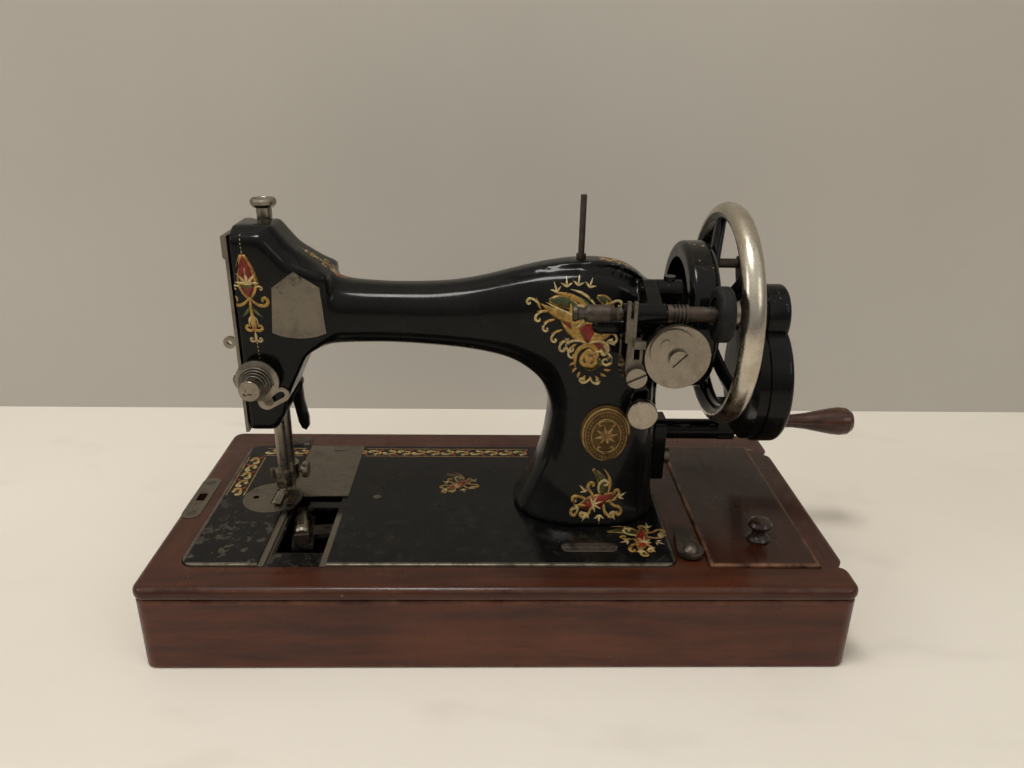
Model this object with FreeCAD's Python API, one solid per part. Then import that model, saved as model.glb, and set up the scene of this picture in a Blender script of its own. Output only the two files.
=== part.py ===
import FreeCAD, Part
import math
import os

# A hand-cranked sewing machine in its wooden base, in millimetres.
# Origin: centre of the base's underside. X runs to the handwheel, Y away from the front, Z up.

V = FreeCAD.Vector
X_AXIS = V(1, 0, 0)
Y_AXIS = V(0, 1, 0)
Z_AXIS = V(0, 0, 1)

# Clearances
RUN_FIT = 0.05          # radial, shaft in a bore
SLIDE_GAP = 0.10        # each side of a sliding plate
WOOD_GAP = 0.50         # round the bed and the lid

# Wooden base
BASE_L = 445.0
BASE_D = 217.0
BOX_INSET = 0.6
BOX_H = 51.0
FRAME_T = 9.0
CORNER_R = 8.5
WALL_T = 12.0
FOOT_ROUND = 1.5
BEAD_ROUND = 1.8
BULLNOSE = 4.4
UNDER_ROUND = 3.4
FLOOR_T = 4.0
FLOOR_REBATE = 4.0
NOTCH_DEPTH = 6.7
NOTCH_FRONT_R = 9.0
NOTCH_BACK_R = 28.0
NOTCH_FRONT_Y = -85.0
NOTCH_BACK_Y = 70.0

# The machine is drawn with its bed's top at this height, then set down in its base
BED_DATUM = 61.5

# Cast bed
BED_X0 = -200.4
BED_X1 = 113.6
BED_Y0 = -84.7
BED_Y1 = 80.3
BED_T = 6.0
BED_PROUD = 1.5
BED_CORNER_R = 9.0
BED_EDGE_ROUND = 1.2
SEAT_GAP = 0.2
LEDGE_W = 6.0
BACK_GAP = 1.0

# Bed hinges
HINGE_XS = (-163.0, 75.0)
HINGE_Y = 82.0
HINGE_DROP = 0.7
KNUCKLE_R = 2.4
HINGE_PIN_R = 1.6
HINGE_HALF_W = 9.5
LUG_HALF_W = 4.2
LEAF_D = 16.0
LEAF_SCREW_X = 5.2
LEAF_SCREW_Y = 10.5
LEAF_T = 1.6

# Catch for the bed
CATCH_X = 123.9
CATCH_Y = -71.0
CATCH_L = 24.5
CATCH_T = 2.2
CATCH_END_R = 8.6
CATCH_TIP_R = 4.0
CATCH_LIFT = 0.5
CATCH_LOCKED_DEG = 173.0
CATCH_REST_TURN = 80.0
CATCH_SCREW_R = 2.5

# Compartment lid
LID_X0 = 134.0
RIGHT_RAIL_W = 18.0
LID_Y0 = -85.5
LID_Y1 = 81.5
LID_T = 8.0
LID_PROUD = 2.0
LID_LEDGE = 4.5
LID_PIN_R = 1.5
LID_PIN_Y = 78.6
LID_PIN_Z = 59.6
LID_PIN_BITE = 5.0
DIVIDER_T = 8.0
KNOB_X = 173.0
KNOB_Y = -55.0
KNOB_R = 8.0
KNOB_H = 15.0

# Lock plate
LOCK_X = -214.0
LOCK_Y = -0.5
LOCK_W = 13.0
LOCK_L = 57.0
LOCK_T = 1.2
LOCK_SLOT_W = 6.0
LOCK_SLOT_L = 10.0
LOCK_SLOT_DEPTH = 6.0
LOCK_SCREW_Y = 21.0

# Feed shaft under the bed
FEED_SHAFT_Y = 66.0
FEED_SHAFT_Z = 46.0
FEED_SHAFT_R = 4.0

# Slide way, needle plate and shuttle
WAY_X0 = -152.0
WAY_X1 = -109.0
WAY_DEPTH = 1.25
PLATE_T = 1.15
LIP_W = 4.0
RECESS_DEPTH = 4.0
SLOT_X0 = -145.0
SLOT_X1 = -113.0
SLOT_FRONT = -66.0
SLOT_BACK = 56.0
RACE_BAR_Y = -10.5
RACE_BAR_W = 7.5
NEEDLE_PLATE_X = -162.5
NEEDLE_PLATE_Y = -2.5
NEEDLE_PLATE_R = 20.75
NEEDLE_PLATE_T = 2.0
NEEDLE_PLATE_SEAT = 2.6
SHUTTLE_R = 6.0
SHUTTLE_L = 32.0
SHUTTLE_X = -138.0
SHUTTLE_Y = -20.0
SHUTTLE_Z = 51.0
SWING_X = -28.0
SWING_Y = -2.0
SWING_SHAFT_R = 5.0
CARRIER_T = 3.5

# Head, arm and pillar
MID_Y = -2.0
SHAFT_Z = 202.0
SHAFT_R = 6.0
BOSS_R = 15.0
BOSS_X = 109.0
HEAD_X0 = -166.5
HEAD_Y0 = -25.0
HEAD_Y1 = 21.0
HEAD_BOTTOM = 125.0
HEAD_FRONT_TOP = 254.0
HEAD_CROWN = 260.0
HEAD_WALL = 5.0
HEAD_BACK_WALL = 3.0
HEAD_ROUND = 2.5
ARM_BORE_R = 13.5
BAR_X = -152.5
BAR_R = 4.0
NEEDLE_BAR_Y = MID_Y
PRESSER_BAR_Y = 13.0
FACEPLATE_T = 2.0
SECTION_POINTS = 20
SECTION_FULLNESS = 2.3

# Spool pin, take-up lever, presser lifter and the head's screws
SPOOL_X = 51.3
SPOOL_R = 2.0
SPOOL_TOP = 279.0
SPOOL_SEAT = 238.5
SPOOL_COLLAR_R = 3.2
SPOOL_COLLAR_T = 3.0
SPOOL_TANG_R = 1.5
TAKE_UP_X = -130.5
TAKE_UP_Y = -15.0
TAKE_UP_Z = 197.0
TAKE_UP_PIN_R = 3.0
LIFTER_X = -146.0
LIFTER_Z = 141.0
LIFTER_PIN_R = 2.5
PRESSURE_NECK_R = 4.9
NEEDLE_R = 0.9
SCREW_SHANK_R = 2.0
ARM_PLATE_SCREW = (-127.2, 229.3)
SLACK_SCREW = (-150.6, 147.9)
FACE_SCREW_ZS = (140.0, 232.0)

# Stitch regulator
REGULATOR_X = 91.5
REGULATOR_Z = 145.5
REGULATOR_R = 9.9

# Tension set
TENSION_X = -155.2
TENSION_Z = 163.8
DISC_R = 13.9
STUD_R = 2.2
SPRING_WIRE_R = 0.65
SPRING_BIG_R = 10.6
SPRING_SMALL_R = 5.6
SPRING_TURNS = 4
NUT_R = 6.8
TENSION_NUT_T = 5.5

# Handwheel
RIM_X = 146.5
RIM_R = 66.6
RIM_HALF_W = 7.0
RIM_HALF_T = 6.0
SPOKES = 5
SPOKE_W = 11.0
SPOKE_T = 7.0
HUB_R = 16.0
HUB_X0 = 111.0
HUB_X1 = 150.0
DRUM_X0 = 115.0
DRUM_X1 = 134.0
DRUM_R = 48.0
DRUM_MOUTH_R = 37.5
DRUM_WEB_T = 6.0
NUT_CLUTCH_R = 11.0

# Hand crank
GEAR_MODULE = 1.75
GEAR_TEETH = 39
PINION_TEETH = 13
GEAR_X0 = 171.0
GEAR_W = 8.0
CASE_X0 = 165.0
CASE_SPLIT_X = 172.0
CASE_X1 = 187.0
CASE_WALL = 3.0
CASE_GEAR_GAP = 3.2
CRANK_SHAFT_R = 6.0
PINION_SHAFT_R = 4.0
CRANK_X0 = 188.6
CRANK_T = 5.5
CRANK_DY = 53.5
CRANK_DZ = -57.1
GRIP_PIN_R = 3.5
GRIP_X1 = 275.4
GRIP_R = 10.9
GRIP_NECK_R = 5.2
SUPPORT_Y = 8.0
SUPPORT_Z = 113.0
SUPPORT_R = 7.2
FOOT_X0 = 109.5
FOOT_T = 8.0
FOOT_BOLT_Z = 92.0
DRIVER_X0 = 159.5
DRIVER_T = 4.0
DRIVER_R = 36.0
DRIVER_DEG = 36.0

# Bobbin winder
WINDER_Y = -65.0
WINDER_Z = 221.0
SPINDLE_R = 3.0
WORM_R = 5.6
TYRE_R = 16.4
TYRE_X0 = 123.5
TYRE_W = 9.0
TYRE_HUB_R = 10.0
CAM_X = 101.0
CAM_Z = 199.5
CAM_R = 19.0
CAM_GEAR_R = 15.5
CAM_STUD_R = 3.0
HEART_R = 13.2
HEART_DX = -3.2
HEART_DZ = 4.3
GUIDE_X = 77.8
GUIDE_Z = 187.7
TILT_Y = -42.0
TILT_Z = 229.0
TILT_PIN_R = 3.0

# Heights and places that follow from the sizes above
FRAME_TOP = BOX_H + FRAME_T
BED_TOP = FRAME_TOP + BED_PROUD
SEAT_Z = BED_TOP - BED_T - SEAT_GAP
HINGE_Z = BED_TOP - HINGE_DROP
BED_UNDER = BED_DATUM - BED_T
HINGE_DATUM = BED_DATUM - HINGE_DROP
FLOOR_TOP = FLOOR_T
LID_X1 = BASE_L / 2 - RIGHT_RAIL_W
LID_TOP = FRAME_TOP + LID_PROUD
LID_UNDER = LID_TOP - LID_T
GEAR_DISTANCE = GEAR_MODULE * (GEAR_TEETH + PINION_TEETH) / 2
CRANK_Z = SHAFT_Z - GEAR_DISTANCE
CASE_MARGIN = CASE_GEAR_GAP + CASE_WALL + 1.0
CASE_TOP_R = GEAR_MODULE * (PINION_TEETH / 2 + 0.92) + CASE_MARGIN
CASE_LOW_R = GEAR_MODULE * (GEAR_TEETH / 2 + 0.92) + CASE_MARGIN
GRIP_Y = MID_Y + CRANK_DY
GRIP_Z = CRANK_Z + CRANK_DZ
FACE_SCREW_Y = HEAD_Y1 - 2.6
TENSION_NUT_Y = HEAD_Y0 - 19.5
GUARD = 200.0           # longer than any cut

# Arm and pillar: each section's inner and outer point, as (x, z), and its half depth
STATIONS = (
    ((-122, 178.5), (-116, 233), 21.5),
    ((-90, 182), (-90, 222.5), 21.0),
    ((-54, 181.2), (-54, 221.6), 20.5),
    ((-14, 176.8), (-14, 225.8), 21.5),
    ((8, 170.5), (16, 233.5), 23.5),
    ((19, 163.5), (47, 239.0), 26.0),
    ((28, 154), (84, 234), 28.0),
    ((32.5, 143), (102, 212), 30.0),
    ((33.2, 132), (106, 172), 31.0),
    ((31, 115), (106.5, 130), 31.5),
    ((26.5, 98), (107, 98), 32.5),
    ((20, 82), (107.5, 80), 34.5),
    ((13.5, 69.5), (109, 69), 38.0),
    ((9, BED_DATUM), (113, BED_DATUM), 41.0),
)

# Head: the outline of its front and back faces, and of its fuller middle
HEAD_FRONT = ((HEAD_X0, HEAD_BOTTOM), (HEAD_X0, HEAD_FRONT_TOP), (-147.7, HEAD_FRONT_TOP), (-132, 236), (-108, 231),
              (-107.5, 192), (-124, 178), (-137, 152), (-142, 134.5), (-149, HEAD_BOTTOM))
HEAD_MIDDLE = ((HEAD_X0, HEAD_BOTTOM), (HEAD_X0, HEAD_CROWN), (-142, HEAD_CROWN), (-131, 246), (-108, 230.5),
               (-107.5, 184), (-126, 176), (-137, 152), (-142, 134.5), (-149, HEAD_BOTTOM))


def box(x0, x1, y0, y1, z0, z1):
    return Part.makeBox(x1 - x0, y1 - y0, z1 - z0, V(x0, y0, z0))


def rod_x(x0, x1, y, z, r):
    return Part.makeCylinder(r, x1 - x0, V(x0, y, z), X_AXIS)


def rod_y(y0, y1, x, z, r):
    return Part.makeCylinder(r, y1 - y0, V(x, y0, z), Y_AXIS)


def rod_z(z0, z1, x, y, r):
    return Part.makeCylinder(r, z1 - z0, V(x, y, z0), Z_AXIS)


def polygon(points):
    return Part.makePolygon(points + points[:1])


def plate_xz(points, y0, y1):
    """A flat plate from an outline of (x, z) points, between two depths."""
    outline = polygon([V(x, y0, z) for x, z in points])
    return Part.Face(outline).extrude(V(0, y1 - y0, 0))


def plate_yz(points, x0, x1):
    outline = polygon([V(x0, y, z) for y, z in points])
    return Part.Face(outline).extrude(V(x1 - x0, 0, 0))


def round_edges(shape, radius, wanted):
    """Fillet the edges whose bounding box passes the test."""
    edges = [e for e in shape.Edges if wanted(e.BoundBox)]
    return shape.makeFillet(radius, edges)


def rounded_block(x0, x1, y0, y1, z0, z1, r):
    block = box(x0, x1, y0, y1, z0, z1)
    return round_edges(block, r, lambda b: b.ZLength > (z1 - z0) * 0.9 and b.XLength < 0.01 and b.YLength < 0.01)


def slot_z(x, y, length, width, z0, z1):
    """An upright round-ended block, long along Y."""
    half = (length - width) / 2
    body = box(x - width / 2, x + width / 2, y - half, y + half, z0, z1)
    for side in (-1, 1):
        body = body.fuse(rod_z(z0, z1, x, y + side * half, width / 2))
    return body.removeSplitter()


def link_x(y0, z0, r0, y1, z1, r1, x0, x1):
    """A flat tapered link in the YZ plane: two round ends and their tangent sides."""
    span = math.hypot(y1 - y0, z1 - z0)
    along = math.atan2(z1 - z0, y1 - y0)
    lean = math.acos((r0 - r1) / span)
    corners = []
    for centre_y, centre_z, r, side in ((y0, z0, r0, 1), (y1, z1, r1, 1), (y1, z1, r1, -1), (y0, z0, r0, -1)):
        angle = along + side * lean
        corners.append((centre_y + r * math.cos(angle), centre_z + r * math.sin(angle)))
    body = plate_yz(corners, x0, x1)
    body = body.fuse(rod_x(x0, x1, y0, z0, r0))
    return body.fuse(rod_x(x0, x1, y1, z1, r1)).removeSplitter()


def turned(points, base, axis):
    """A solid of revolution from (distance along axis, radius) points, starting and ending at radius 0."""
    side = V(0, 0, 1) if axis != Z_AXIS else V(1, 0, 0)
    corners = [base + axis * d + side * r for d, r in points]
    return Part.Face(polygon(corners)).revolve(base, axis, 360)


def slotted_screw_y(x, z, y_head, head_r, head_t, shank_r, shank_l, slot_deg=40):
    """A screw whose head faces the front; y_head is the front of its head."""
    head = rod_y(y_head, y_head + head_t, x, z, head_r)
    shank = rod_y(y_head + head_t, y_head + head_t + shank_l, x, z, shank_r)
    slot = box(-head_r - 1, head_r + 1, -1, head_t * 0.45, -head_r * 0.13, head_r * 0.13)
    slot.rotate(V(0, 0, 0), Y_AXIS, -slot_deg)
    slot.translate(V(x, y_head, z))
    return head.fuse(shank).cut(slot).removeSplitter()


def slotted_screw_z(x, y, z_top, head_r, head_t, shank_r, shank_l, slot_deg=30):
    head = rod_z(z_top - head_t, z_top, x, y, head_r)
    shank = rod_z(z_top - head_t - shank_l, z_top - head_t, x, y, shank_r)
    slot = box(-head_r - 1, head_r + 1, -head_r * 0.13, head_r * 0.13, -head_t * 0.45, 1)
    slot.rotate(V(0, 0, 0), Z_AXIS, slot_deg)
    slot.translate(V(x, y, z_top))
    return head.fuse(shank).cut(slot).removeSplitter()


# Wooden base

def base_ring():
    half_l = BASE_L / 2 - BOX_INSET
    half_d = BASE_D / 2 - BOX_INSET
    ring = rounded_block(-half_l, half_l, -half_d, half_d, 0, BOX_H, CORNER_R)
    ring = round_edges(ring, FOOT_ROUND, lambda b: b.ZMax < 0.01)
    ring = round_edges(ring, BEAD_ROUND, lambda b: b.ZMin > BOX_H - 0.01)
    inner_l = BASE_L / 2 - WALL_T
    inner_d = BASE_D / 2 - WALL_T
    ring = ring.cut(box(-inner_l, inner_l, -inner_d, inner_d, -1, BOX_H + 1))
    rebate_l = inner_l + FLOOR_REBATE
    rebate_d = inner_d + FLOOR_REBATE
    return ring.cut(box(-rebate_l, rebate_l, -rebate_d, rebate_d, -1, FLOOR_TOP + 0.1))


def base_boards():
    ring = base_ring()
    inner_l = BASE_L / 2 - WALL_T
    inner_d = BASE_D / 2 - WALL_T
    return {
        "base_front_board": ring.common(box(-GUARD * 2, GUARD * 2, -GUARD * 2, -inner_d, -1, GUARD)),
        "base_back_board": ring.common(box(-GUARD * 2, GUARD * 2, inner_d, GUARD * 2, -1, GUARD)),
        "base_left_board": ring.common(box(-GUARD * 2, -inner_l, -inner_d, inner_d, -1, GUARD)),
        "base_right_board": ring.common(box(inner_l, GUARD * 2, -inner_d, inner_d, -1, GUARD)),
    }


def floor_board():
    half_l = BASE_L / 2 - WALL_T + FLOOR_REBATE - 0.2
    half_d = BASE_D / 2 - WALL_T + FLOOR_REBATE - 0.2
    return box(-half_l, half_l, -half_d, half_d, 0, FLOOR_TOP)


def frame_rails():
    """The top frame, cut into its five rails; the middle one carries the compartment's divider."""
    half_l = BASE_L / 2
    half_d = BASE_D / 2
    frame = rounded_block(-half_l, half_l, -half_d, half_d, BOX_H, FRAME_TOP, CORNER_R)
    frame = round_edges(frame, BULLNOSE, lambda b: b.ZMin > FRAME_TOP - 0.01)
    frame = round_edges(frame, UNDER_ROUND, lambda b: b.ZMax < BOX_H + 0.01)
    for notch_y in (NOTCH_FRONT_Y, NOTCH_BACK_Y):
        frame = frame.cut(edge_notch(half_l, notch_y))
    open_x0 = BED_X0 - WOOD_GAP
    open_x1 = BED_X1 + WOOD_GAP
    open_y0 = BED_Y0 - WOOD_GAP
    open_y1 = BED_Y1 + BACK_GAP
    upper = rounded_block(open_x0, open_x1, open_y0, open_y1, SEAT_Z, FRAME_TOP + 1, BED_CORNER_R)
    lower = box(open_x0 + LEDGE_W, open_x1 - LEDGE_W, open_y0 + LEDGE_W, open_y1 - LEDGE_W, BOX_H - 1, SEAT_Z + 1)
    frame = frame.cut(upper).cut(lower)
    lid_x0 = LID_X0 - WOOD_GAP
    lid_x1 = LID_X1 + WOOD_GAP
    lid_y0 = LID_Y0 - WOOD_GAP
    lid_y1 = LID_Y1 + WOOD_GAP
    frame = frame.cut(box(lid_x0, lid_x1, lid_y0, lid_y1, LID_UNDER - 0.2, FRAME_TOP + 1))
    frame = frame.cut(box(lid_x0 + LID_LEDGE, lid_x1 - LID_LEDGE, lid_y0 + LID_LEDGE, lid_y1, BOX_H - 1, FRAME_TOP))
    back_pocket = box(lid_x0, lid_x1, LID_PIN_Y - 8, lid_y1, BOX_H - 1, FRAME_TOP + 1)
    frame = frame.cut(back_pocket)
    frame = frame.cut(lock_pocket())
    for cutter in hinge_pockets() + base_fastener_holes():
        frame = frame.cut(cutter)
    front_y = open_y0 + LEDGE_W
    back_y = open_y1 - LEDGE_W
    left_x = open_x0 + LEDGE_W
    mid_x0 = open_x1 - LEDGE_W
    mid_x1 = lid_x0 + LID_LEDGE
    right_x = lid_x1 - LID_LEDGE
    middle = frame.common(box(mid_x0, mid_x1, front_y, back_y, 0, GUARD))
    divider_x1 = lid_x0 - 1
    inner_d = half_d - WALL_T
    divider = box(divider_x1 - DIVIDER_T, divider_x1, -inner_d, inner_d, FLOOR_TOP, BOX_H)
    return {
        "rail_front": frame.common(box(-GUARD * 2, GUARD * 2, -GUARD * 2, front_y, 0, GUARD)),
        "rail_back": frame.common(box(-GUARD * 2, GUARD * 2, back_y, GUARD * 2, 0, GUARD)),
        "rail_left": frame.common(box(-GUARD * 2, left_x, front_y, back_y, 0, GUARD)),
        "middle_divider": middle.fuse(divider).removeSplitter(),
        "rail_right": frame.common(box(right_x, GUARD * 2, front_y, back_y, 0, GUARD)),
    }


def edge_notch(side_x, y):
    """A pointed bite in the frame's edge, between two rounded shoulders."""
    reach_front = math.sqrt(NOTCH_FRONT_R ** 2 - (NOTCH_FRONT_R - NOTCH_DEPTH) ** 2)
    reach_back = math.sqrt(NOTCH_BACK_R ** 2 - (NOTCH_BACK_R - NOTCH_DEPTH) ** 2)
    z0 = BOX_H - 1
    z1 = FRAME_TOP + 1
    bite = box(side_x - NOTCH_DEPTH, side_x + 2, y - reach_front, y + reach_back, z0, z1)
    bite = bite.cut(rod_z(z0, z1, side_x - NOTCH_FRONT_R, y - reach_front, NOTCH_FRONT_R))
    return bite.cut(rod_z(z0, z1, side_x - NOTCH_BACK_R, y + reach_back, NOTCH_BACK_R))


def lock_pocket():
    plate = slot_z(LOCK_X, LOCK_Y, LOCK_L + 0.2, LOCK_W + 0.2, FRAME_TOP - LOCK_T + 0.4, FRAME_TOP + 1)
    slot = box(LOCK_X - LOCK_SLOT_W / 2, LOCK_X + LOCK_SLOT_W / 2, LOCK_Y - LOCK_SLOT_L / 2,
               LOCK_Y + LOCK_SLOT_L / 2, FRAME_TOP - LOCK_SLOT_DEPTH, FRAME_TOP + 1)
    return plate.fuse(slot)


def lock_plate():
    plate = slot_z(LOCK_X, LOCK_Y, LOCK_L, LOCK_W, FRAME_TOP - LOCK_T + 0.4, FRAME_TOP + 0.4)
    slot = box(LOCK_X - LOCK_SLOT_W / 2, LOCK_X + LOCK_SLOT_W / 2, LOCK_Y - LOCK_SLOT_L / 2,
               LOCK_Y + LOCK_SLOT_L / 2, FRAME_TOP - 5, FRAME_TOP + 5)
    plate = plate.cut(slot)
    for side in (-1, 1):
        plate = plate.cut(rod_z(FRAME_TOP - 5, FRAME_TOP + 5, LOCK_X, LOCK_Y + side * LOCK_SCREW_Y, 3.25))
    return plate


def leaf_screw_places():
    return [(x + side * LEAF_SCREW_X, HINGE_Y + LEAF_SCREW_Y) for x in HINGE_XS for side in (-1, 1)]


def base_fastener_holes():
    holes = []
    for side in (-1, 1):
        holes.append(rod_z(FRAME_TOP - 6.8, FRAME_TOP, LOCK_X, LOCK_Y + side * LOCK_SCREW_Y, 1.5))
    for x, y in leaf_screw_places():
        holes.append(rod_z(FRAME_TOP - 7.0, FRAME_TOP, x, y, 1.5))
    holes.append(rod_z(BOX_H - 1, FRAME_TOP + 1, CATCH_X, CATCH_Y, CATCH_SCREW_R))
    for x0, x1 in lid_pin_spans():
        holes.append(rod_x(x0, x1, LID_PIN_Y, LID_PIN_Z, LID_PIN_R))
    return holes


def lid_pin_spans():
    reach = WOOD_GAP + LID_PIN_BITE
    return ((LID_X0 - WOOD_GAP - LID_PIN_BITE, LID_X0 - WOOD_GAP + reach),
            (LID_X1 + WOOD_GAP - reach, LID_X1 + WOOD_GAP + LID_PIN_BITE))


def base_fasteners():
    """Lock-plate and hinge screws, the catch's pivot screw and the lid's two pivot pins."""
    pieces = []
    for side in (-1, 1):
        pieces.append(slotted_screw_z(LOCK_X, LOCK_Y + side * LOCK_SCREW_Y, FRAME_TOP + 0.5, 3.2, 1.3, 1.5, 6.0))
    for x, y in leaf_screw_places():
        pieces.append(slotted_screw_z(x, y, FRAME_TOP + 0.5, 2.6, 0.9, 1.5, 6.0))
    lever_top = BED_TOP + CATCH_LIFT + CATCH_T
    washer = rod_z(FRAME_TOP, BED_TOP + CATCH_LIFT - 0.1, CATCH_X, CATCH_Y, 5.0)
    shank = rod_z(BOX_H + 1, lever_top + 0.2, CATCH_X, CATCH_Y, CATCH_SCREW_R)
    dome_r = 5.4
    dome = Part.makeSphere(dome_r, V(CATCH_X, CATCH_Y, lever_top + 0.1 - 2.2))
    dome = dome.common(rod_z(lever_top + 0.1, lever_top + 6, CATCH_X, CATCH_Y, dome_r))
    pieces.append(washer.fuse(shank).fuse(dome).removeSplitter())
    for x0, x1 in lid_pin_spans():
        pieces.append(rod_x(x0, x1, LID_PIN_Y, LID_PIN_Z, LID_PIN_R))
    return Part.makeCompound(pieces)


def hinge_pockets():
    """Room in the back rail for each leaf and its knuckles."""
    cutters = []
    for x in HINGE_XS:
        half = HINGE_HALF_W + 0.2
        cutters.append(box(x - half, x + half, HINGE_Y - 3, HINGE_Y + KNUCKLE_R + 0.25, HINGE_Z - KNUCKLE_R - 0.25,
                           FRAME_TOP + 1))
        cutters.append(box(x - half, x + half, HINGE_Y, HINGE_Y + LEAF_D + 0.2, FRAME_TOP - LEAF_T, FRAME_TOP + 1))
    return cutters


def bed_hinges():
    leaves = []
    for x in HINGE_XS:
        leaf = box(x - HINGE_HALF_W, x + HINGE_HALF_W, HINGE_Y, HINGE_Y + LEAF_D, FRAME_TOP - LEAF_T, FRAME_TOP + 0.1)
        leaf = leaf.fuse(rod_x(x - HINGE_HALF_W, x + HINGE_HALF_W, HINGE_Y, HINGE_Z, KNUCKLE_R))
        room = LUG_HALF_W + 0.3
        leaf = leaf.cut(rod_x(x - room, x + room, HINGE_Y, HINGE_Z, KNUCKLE_R + 0.4))
        leaf = leaf.fuse(rod_x(x - HINGE_HALF_W, x + HINGE_HALF_W, HINGE_Y, HINGE_Z, HINGE_PIN_R))
        for side in (-1, 1):
            leaf = leaf.cut(rod_z(FRAME_TOP - 3, FRAME_TOP + 2, x + side * LEAF_SCREW_X, HINGE_Y + LEAF_SCREW_Y, 2.65))
        leaves.append(leaf.removeSplitter())
    return Part.makeCompound(leaves)


def bed_catch():
    """The flat lever, turned off the bed; locked, it points over the bed's corner."""
    z0 = BED_TOP + CATCH_LIFT
    angle = math.radians(CATCH_LOCKED_DEG - CATCH_REST_TURN)
    tip = V(CATCH_X + CATCH_L * math.cos(angle), CATCH_Y + CATCH_L * math.sin(angle), 0)
    lean = math.acos((CATCH_END_R - CATCH_TIP_R) / CATCH_L)
    corners = []
    for centre, r, side in ((V(CATCH_X, CATCH_Y, 0), CATCH_END_R, 1), (tip, CATCH_TIP_R, 1),
                            (tip, CATCH_TIP_R, -1), (V(CATCH_X, CATCH_Y, 0), CATCH_END_R, -1)):
        a = angle + side * lean
        corners.append(V(centre.x + r * math.cos(a), centre.y + r * math.sin(a), z0))
    lever = Part.Face(polygon(corners)).extrude(V(0, 0, CATCH_T))
    lever = lever.fuse(rod_z(z0, z0 + CATCH_T, CATCH_X, CATCH_Y, CATCH_END_R))
    lever = lever.fuse(rod_z(z0, z0 + CATCH_T, tip.x, tip.y, CATCH_TIP_R)).removeSplitter()
    return lever.cut(rod_z(z0 - 1, z0 + CATCH_T + 1, CATCH_X, CATCH_Y, CATCH_SCREW_R + RUN_FIT))


def lid_panel():
    panel = box(LID_X0, LID_X1, LID_Y0, LID_Y1, LID_UNDER, LID_TOP)
    panel = round_edges(panel, 1.6, lambda b: b.ZMin > LID_TOP - 0.01)
    for x0, x1 in lid_pin_spans():
        panel = panel.cut(rod_x(x0 - 1, x1 + 1, LID_PIN_Y, LID_PIN_Z, LID_PIN_R + RUN_FIT))
    return panel.cut(rod_z(LID_UNDER - 1, LID_TOP + 1, KNOB_X, KNOB_Y, 2.5))


def lid_knob():
    profile = [(-6.0, 0), (-6.0, 2.5), (0, 2.5), (0, 7.4), (1.2, 7.8), (2.6, 6.6), (4.4, 4.6), (6.6, 4.3),
               (8.4, 5.6), (10.0, KNOB_R - 0.3), (11.8, KNOB_R), (13.6, KNOB_R - 1.2), (14.7, 4.2), (KNOB_H, 0)]
    return turned(profile, V(KNOB_X, KNOB_Y, LID_TOP), Z_AXIS)


# Bed and what it carries

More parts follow.
